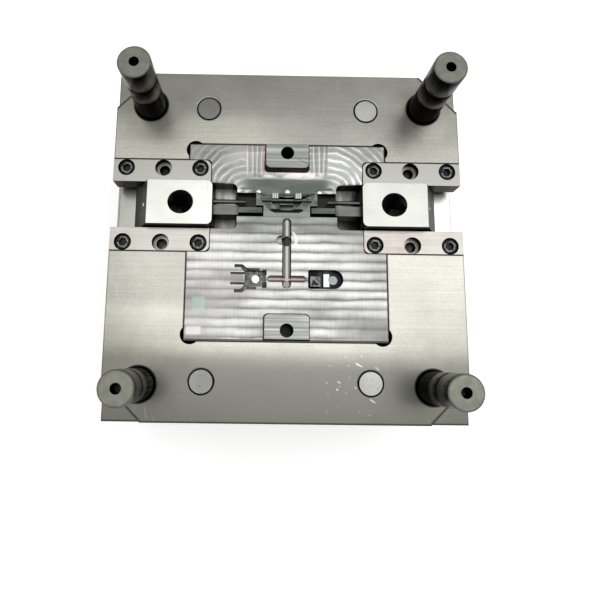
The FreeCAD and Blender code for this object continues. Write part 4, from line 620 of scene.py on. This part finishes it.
def cap_screw_tree():
    """Turns points into cap screws: a knurled head, a hexagon socket and a shank, all sized by inputs."""
    rim_share, knurl_share = 0.90, 0.982  # radius of the chamfered rim and of the knurl's grooves
    side_share = 0.80  # height of the straight side in the head's upper half
    tree = bpy.data.node_groups.new("cap_screws", "GeometryNodeTree")
    face = tree.interface
    face.new_socket("Geometry", in_out="OUTPUT", socket_type="NodeSocketGeometry")
    face.new_socket("Places", in_out="INPUT", socket_type="NodeSocketGeometry")
    for name in ("Head Radius", "Head Height", "Socket Radius", "Socket Depth", "Shank Radius",
                 "Shank Length", "Tilt"):
        face.new_socket(name, in_out="INPUT", socket_type="NodeSocketFloat")
    face.new_socket("Seed", in_out="INPUT", socket_type="NodeSocketInt")
    face.new_socket("Finish", in_out="INPUT", socket_type="NodeSocketMaterial")
    given = tree.nodes.new("NodeGroupInput").outputs

    def step(kind, options=None, inputs=None):
        return add_node(tree, kind, options, inputs)

    def sums(operation, first, second):
        return step("ShaderNodeMath", {"operation": operation}, {0: first, 1: second}).outputs[0]

    def rod(sides, radius, length, bands=1):
        inputs = {"Vertices": sides, "Side Segments": bands, "Radius": radius, "Depth": length}
        return step("GeometryNodeMeshCylinder", inputs=inputs).outputs["Mesh"]

    def lifted(mesh, height):
        shift = step("ShaderNodeCombineXYZ", inputs={"Z": height}).outputs[0]
        return step("GeometryNodeTransform", inputs={"Geometry": mesh, "Translation": shift}).outputs[0]

    def scaled(vector, factors):
        return step("ShaderNodeVectorMath", {"operation": "MULTIPLY"}, {0: vector, 1: factors}).outputs[0]

    def moved(mesh, which, **change):
        inputs = {"Geometry": mesh, "Selection": which, **change}
        return step("GeometryNodeSetPosition", inputs=inputs).outputs[0]

    place = step("GeometryNodeInputPosition").outputs[0]
    height = step("ShaderNodeSeparateXYZ", inputs={0: place}).outputs["Z"]
    half = sums("MULTIPLY", given["Head Height"], 0.5)
    blank = rod(64, given["Head Radius"], given["Head Height"], bands=2)
    rim = sums("GREATER_THAN", height, sums("MULTIPLY", half, 0.9))
    waist = sums("LESS_THAN", sums("ABSOLUTE", height, 0.0), sums("MULTIPLY", half, 0.1))
    blank = moved(blank, rim, Position=scaled(place, (rim_share, rim_share, 1.0)))
    raised = step("ShaderNodeCombineXYZ", inputs={"Z": sums("MULTIPLY", half, side_share)}).outputs[0]
    blank = moved(blank, waist, Offset=raised)
    index = step("GeometryNodeInputIndex").outputs[0]
    every_other = sums("MULTIPLY", sums("MODULO", index, 2.0), sums("SUBTRACT", 1.0, rim))
    blank = moved(blank, every_other, Position=scaled(place, (knurl_share, knurl_share, 1.0)))
    blank = lifted(blank, half)
    key = rod(6, given["Socket Radius"], sums("MULTIPLY", given["Socket Depth"], 2.0))
    key = lifted(key, given["Head Height"])
    head = step("GeometryNodeMeshBoolean", {"operation": "DIFFERENCE", "solver": "EXACT"},
                {"Mesh 1": blank, "Mesh 2": key})
    shank = rod(32, given["Shank Radius"], given["Shank Length"])
    shank = lifted(shank, sums("MULTIPLY", given["Shank Length"], -0.5))
    screw = step("GeometryNodeJoinGeometry")
    tree.links.new(shank, screw.inputs[0])
    tree.links.new(head.outputs["Mesh"], screw.inputs[0])
    reach = step("ShaderNodeVectorMath", {"operation": "LENGTH"}, {0: scaled(place, (1.0, 1.0, 0.0))})
    share = sums("DIVIDE", reach.outputs["Value"], given["Head Radius"])
    marked = step("GeometryNodeStoreNamedAttribute", {"data_type": "FLOAT"},
                  {"Geometry": screw.outputs[0], "Name": "across", "Value": share}).outputs[0]
    turn = step("FunctionNodeRandomValue", {"data_type": "FLOAT"},
                {2: 0.0, 3: math.pi / 3, "Seed": given["Seed"]}).outputs[1]
    spin = step("ShaderNodeCombineXYZ", inputs={"X": given["Tilt"], "Z": turn}).outputs[0]
    placed = step("GeometryNodeInstanceOnPoints",
                  inputs={"Points": given["Places"], "Instance": marked, "Rotation": spin}).outputs[0]
    real = step("GeometryNodeRealizeInstances", inputs={"Geometry": placed}).outputs[0]
    inputs = {"Geometry": real, "Material": given["Finish"]}
    step("NodeGroupOutput", inputs={0: step("GeometryNodeSetMaterial", inputs=inputs).outputs[0]})
    return tree


def solids_of(node):
    """The lowest and highest corner of each separate solid in a CAD node."""
    shape = welded(node)
    left = set(shape.verts)
    boxes = []
    while left:
        front = [left.pop()]
        island = list(front)
        while front:
            for edge in front.pop().link_edges:
                for vertex in edge.verts:
                    if vertex in left:
                        left.remove(vertex)
                        front.append(vertex)
                        island.append(vertex)
        boxes.append([Vector([pick(v.co[axis] for v in island) for axis in range(3)]) for pick in (min, max)])
    shape.free()
    return sorted(boxes, key=lambda box: tuple(box[0]))


def cap_screws(node, size, key_width, body, heads_up, seed):
    """Cap screws in the places of a CAD node, from their thread size and the width of their key."""
    boxes = solids_of(node)
    low, high = boxes[0]
    head_height = size * MM
    seats = [((a.x + b.x) / 2, (a.y + b.y) / 2, b.z - head_height if heads_up else a.z + head_height)
             for a, b in boxes]
    points = bpy.data.meshes.new(f"{node}_dressed")
    points.from_pydata(seats, [], [])
    piece = bpy.data.objects.new(f"{node}_dressed", points)
    scene.collection.objects.link(piece)
    maker = piece.modifiers.new("screws", "NODES")
    maker.node_group = screw_tree
    sizes = {"Head Radius": (high.x - low.x) / 2, "Head Height": head_height,
             "Socket Radius": key_width / 2 / math.cos(math.pi / 6) * MM, "Socket Depth": size / 2 * MM,
             "Shank Radius": size / 2 * MM, "Shank Length": high.z - low.z - head_height,
             "Tilt": 0.0 if heads_up else math.pi, "Seed": seed, "Finish": screw_steel}
    for item in screw_tree.interface.items_tree:
        if item.name in sizes:
            maker[item.identifier] = sizes[item.name]
    settle(piece, maker)
    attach(piece, body)
    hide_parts(node)


screw_tree = cap_screw_tree()
cap_screws("gib_screws", 6, 5, "base", True, 3)
cap_screws("mould_bolts", 12, 10, "base", False, 5)
cap_screws("spacer_block_screws", 8, 6, "base", False, 7)
cap_screws("support_pillar_screws", 8, 6, "base", False, 11)
cap_screws("core_insert_screws", 8, 6, "base", False, 13)
cap_screws("centre_core_screw", 5, 4, "base", False, 17)
cap_screws("ejector_plate_screws", 6, 5, "ejector", False, 19)

# ------------------------------------------------------------------------------------------ slides
# The two side-moving blocks, hardened and ground nearly white on top.  A leaning bore takes the
# angle pin, and the sloped heel, painted darker as shade, has a tapped hole in its middle.

slide = Finish("ground_slide_steel", (0.46, 0.465, 0.43), roughness=0.42)
slide.paint(slide.clouds(40.0, 3.0, (0.35, (0.43, 0.435, 0.40)), (0.65, (0.49, 0.495, 0.46))))
slide_lines = slide.noise(1.0, 3.0, stretch=(25, 1300, 25))
slide.paint(slide.ramp(slide_lines, (0.25, 0.95), (0.75, 1.04)), how="MULTIPLY")
# painted light: the left slide is painted lighter, the right one darker
slide.paint(slide.ramp(slide.rise(slide.x, -0.06, 0.06), (0.0, 1.10), (1.0, 0.90)), how="MULTIPLY")
slide_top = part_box("slide_body_left")[1][2]
bore_x = 0.0690
bore_reach = 0.0150
# painted shade: the steep sides of the slides are painted nearly black
steep_side = slide.rise(slide.up, 0.15, 0.05)
slide.paint((0.020, 0.020, 0.018), steep_side)
heel = slide.between(slide.up, 0.15, 0.75, 0.05)
# painted shade: the sloped heel is darkened
heel_shade = slide.clouds(38.0, 3.0, (0.35, (0.050, 0.053, 0.044)), (0.68, (0.110, 0.113, 0.100)))
slide.paint(heel_shade, heel, slide.rise(slide.z, slide_top + 0.001, slide_top - 0.0006))
bore = slide.spots([(-bore_x, slot_middle), (bore_x, slot_middle)], bore_reach, bore_reach + 0.0005)
under_top = slide.rise(slide.z, slide_top - 0.0004, slide_top - 0.0009)
bore_shade = slide.ramp(slide.rise(slide.z, slide_top - 0.012, slide_top - 0.002),
                        (0.0, (0.010, 0.011, 0.014)), (0.8, (0.040, 0.045, 0.052)))
slide.paint(bore_shade, bore, under_top, steep_side)
# painted shade: the wings under the gibs are darkened
wings = slide.below(0.012, 0.014)
slide.paint((0.10, 0.10, 0.09), wings, 0.8)
slide.dent(slide_lines, 0.00002, 0.4)
slide_steel = slide.done()
for side in ("left", "right"):
    dress([f"slide_body_{side}"], f"slide_{side}", slide_steel, 0.25 * MM)

# ------------------------------------------------------------------------------------------ slide noses
# The moulding cores let into the slides: a tail, a blade, a finger and a thin rod, wire-cut from
# tool steel and stoned smooth, grey with a greenish film, their steep faces painted nearly black as shade.

nose = Finish("stoned_nose_steel", (0.080, 0.083, 0.076), roughness=0.32)
nose.paint(nose.clouds(90.0, 3.0, (0.34, (0.036, 0.038, 0.035)), (0.66, (0.078, 0.080, 0.073)),
                       stretch=(0.5, 2, 1)))
root = nose.rise(nose.off(nose.x), 0.0335, 0.0340)
nose.paint((0.105, 0.105, 0.092), root, 0.6)
# painted shade: the steep faces of the noses are painted nearly black
nose.paint((0.010, 0.010, 0.009), nose.rise(nose.up, 0.7, 0.4))
nose_steel = nose.done()
for side in ("left", "right"):
    dress([f"slide_core_{side}"], f"slide_{side}", nose_steel, 0.12 * MM)

# ------------------------------------------------------------------------------------------ pins and dowels
# Ejector pins, dowels and ball plungers: bought parts of hardened steel, ground all over.  The
# ends that touch the moulding are rubbed bright or stained dark, each in its own way.

pin = Finish("ground_pin_steel", (0.24, 0.24, 0.228), roughness=0.3)
pin.paint(pin.clouds(80.0, 3.0, (0.30, 0.85), (0.70, 1.15)), how="MULTIPLY")
clip_spot = pin.spots([middle("ejector_pin_left")], 0.0022, 0.0026)
pin.paint((0.46, 0.46, 0.45), clip_spot, pin.below(0.005, 0.004))
from_centre = pin.apart(middle("ejector_pin_right"))
worn_disc = pin.ramp(pin.times(from_centre, 400.0), (0.55, 0.150), (0.72, 0.120), (0.86, 0.260), (1.0, 0.090))
pin.paint(worn_disc, pin.rise(from_centre, 0.0032, 0.0029))
pin.paint((0.045, 0.048, 0.044), pin.spots([middle("centre_ejector_pins")], 0.018, 0.019))
# painted shade: the sides of the pins are darkened
pin.paint((0.05, 0.05, 0.045), pin.rise(pin.up, 0.7, 0.4), 0.8)
pin.paint((0.130, 0.130, 0.124), pin.spots([middle("runner_ejector_pin")], 0.0034, 0.0036))
pin.paint((0.020, 0.020, 0.018), pin.spots([middle("sprue_puller_pin")], 0.0034, 0.0036))
pin.dent(pin.noise(1.0, 2.0, stretch=(60, 60, 1800)), 0.00001, 0.3)
pin_steel = pin.done()


def refinish(names, material):
    """Gives a finish to CAD pieces whose own shape is right."""
    for name in names:
        nodes[name].data.materials.clear()
        nodes[name].data.materials.append(material)


refinish(["ejector_pin_left", "ejector_pin_right", "runner_ejector_pin", "centre_ejector_pins",
          "sprue_puller_pin", "slide_core_dowel_left", "slide_core_dowel_right", "slide_detents"], pin_steel)

# ------------------------------------------------------------------------------------------ ejector plates
# Two plates screwed together that carry the pins, with the buttons they rest on and the pillars
# that pass through them: plain carbon steel, sawn, ground on the faces and lightly rusted.

base = Finish("plain_plate_steel", (0.27, 0.265, 0.24), roughness=0.45)
base.paint(base.clouds(16.0, 4.0, (0.30, 0.80), (0.70, 1.15)), how="MULTIPLY")
base_lines = base.noise(1.0, 3.0, stretch=(25, 25, 1200))
base.paint(base.ramp(base_lines, (0.25, 0.90), (0.75, 1.10)), how="MULTIPLY")
blotches = base.clouds(60.0, 5.0, (0.60, 0.0), (0.72, 0.7))
base.paint((0.16, 0.085, 0.050), blotches)
hollows = base.clouds(420.0, 2.0, (0.25, 0.4), (0.36, 1.0))
base.paint(hollows, how="MULTIPLY")
base.dent(base_lines, 0.00004, 0.5)
base.dent(hollows, 0.00002, 0.4)
clamp_low, clamp_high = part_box("bottom_clamp_plate")
clamp_front, clamp_top = clamp_low[1], clamp_high[2]
ledge = base.times(base.rise(base.up, 0.90, 0.97), base.rise(base.z, clamp_top + 0.007, clamp_top + 0.003))
base.paint((0.27, 0.265, 0.24), ledge, 0.8)
base.paint((0.020, 0.020, 0.016), ledge, base.rise(base.y, clamp_front + 0.0028, clamp_front + 0.0020))
base_steel = base.done(base.ramp(blotches, (0.0, 0.42), (0.7, 0.75)))
dress(["ejector_plate", "ejector_retainer_plate"], "ejector", base_steel, 0.4 * MM)
dress(["support_pillars", "rest_buttons"], "base", base_steel, 0.4 * MM)

# ------------------------------------------------------------------------------------------ return springs
# Four coil springs of flat wire round the return pins, painted blue for their load and rubbed
# through to the steel here and there.  They stand on the ejector plates.

spring = Finish("blue_spring_paint", (0.025, 0.095, 0.33), metallic=0.0, roughness=0.4)
spring.paint(spring.clouds(45.0, 3.0, (0.30, 0.75), (0.70, 1.2)), how="MULTIPLY")
bare = spring.clouds(320.0, 4.0, (0.62, 0.0), (0.68, 1.0))
spring.paint((0.20, 0.19, 0.17), bare)
spring.dent(spring.noise(260.0, 3.0), 0.00003, 0.4)
spring_blue = spring.done(spring.ramp(bare, (0.0, 0.36), (1.0, 0.5)))
coils = copied("return_springs")
stand_for(coils, "return_springs", "ejector", spring_blue)
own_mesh(coils)

# ------------------------------------------------------------------------------------------ clamp plate
# The wide plate that is clamped to the machine, and the two spacer blocks on it that leave room
# for the ejector set: the same plain steel, their corners chamfered.

dress(["bottom_clamp_plate", "spacer_block_left", "spacer_block_right"], "base",
      base_steel, 0.5 * MM)

# ------------------------------------------------------------------------------------------ floor and light
# A white table under one long softbox, in a bright room.  The glow of the table and the full
# brightness of the room are for rays that are seen, straight or mirrored.

table_half = 6.0
table_top = -0.0005


def rays(tree, *kinds):
    """1 for light rays of any of these kinds, otherwise 0."""
    path = add_node(tree, "ShaderNodeLightPath").outputs
    mask = path[f"Is {kinds[0]} Ray"]
    for kind in kinds[1:]:
        terms = {0: mask, 1: path[f"Is {kind} Ray"]}
        mask = add_node(tree, "ShaderNodeMath", {"operation": "MAXIMUM"}, terms).outputs[0]
    return mask


table = bpy.data.meshes.new("table")
corners = [(x * table_half, y * table_half, table_top) for x, y in ((-1, -1), (1, -1), (1, 1), (-1, 1))]
table.from_pydata(corners, [], [(0, 1, 2, 3)])
floor = bpy.data.objects.new("table", table)
scene.collection.objects.link(floor)
paper = bpy.data.materials.new("white_table")
paper.use_nodes = True
sheet = paper.node_tree
matt = sheet.nodes["Principled BSDF"]
matt.inputs["Base Color"].default_value = (0.95, 0.95, 0.95, 1)
matt.inputs["Roughness"].default_value = 0.9
matt.inputs["Specular IOR Level"].default_value = 0.0
terms = {0: rays(sheet, "Camera", "Glossy"), 1: 0.45}
lift = add_node(sheet, "ShaderNodeMath", {"operation": "MULTIPLY"}, terms)
glow = add_node(sheet, "ShaderNodeEmission", inputs={"Color": (1, 1, 1, 1), "Strength": lift.outputs[0]})
both = add_node(sheet, "ShaderNodeAddShader", inputs={0: matt.outputs[0], 1: glow.outputs[0]})
sheet.links.new(both.outputs[0], sheet.nodes["Material Output"].inputs["Surface"])
table.materials.append(paper)

world = bpy.data.worlds.new("room")
scene.world = world
world.use_nodes = True
room = world.node_tree
seen = rays(room, "Camera", "Glossy", "Transmission")
strength = add_node(room, "ShaderNodeMapRange", inputs={"Value": seen, "To Min": 0.55, "To Max": 1.0})
background = room.nodes["Background"]
background.inputs["Color"].default_value = (1, 1, 1, 1)
room.links.new(strength.outputs["Result"], background.inputs["Strength"])

lamp = bpy.data.lights.new("softbox_top", "AREA")
lamp.shape = "RECTANGLE"
lamp.size = 1.2
lamp.size_y = 0.50
lamp.energy = 4.7
softbox = bpy.data.objects.new("softbox_top", lamp)
softbox.location = (0.22, 0.115, 1.155)
scene.collection.objects.link(softbox)

camera_data = bpy.data.cameras.new("camera")
camera_data.sensor_width = 36.0
camera_data.lens = 38.04
camera_data.shift_x = 0.06
camera_data.shift_y = -0.1067
camera = bpy.data.objects.new("camera", camera_data)
camera.location = (-0.0189, -0.0767, 0.5595)
camera.rotation_euler = (math.radians(11.12), math.radians(-0.72), math.radians(0.72))
scene.collection.objects.link(camera)
scene.camera = camera
scene.view_settings.view_transform = "Standard"
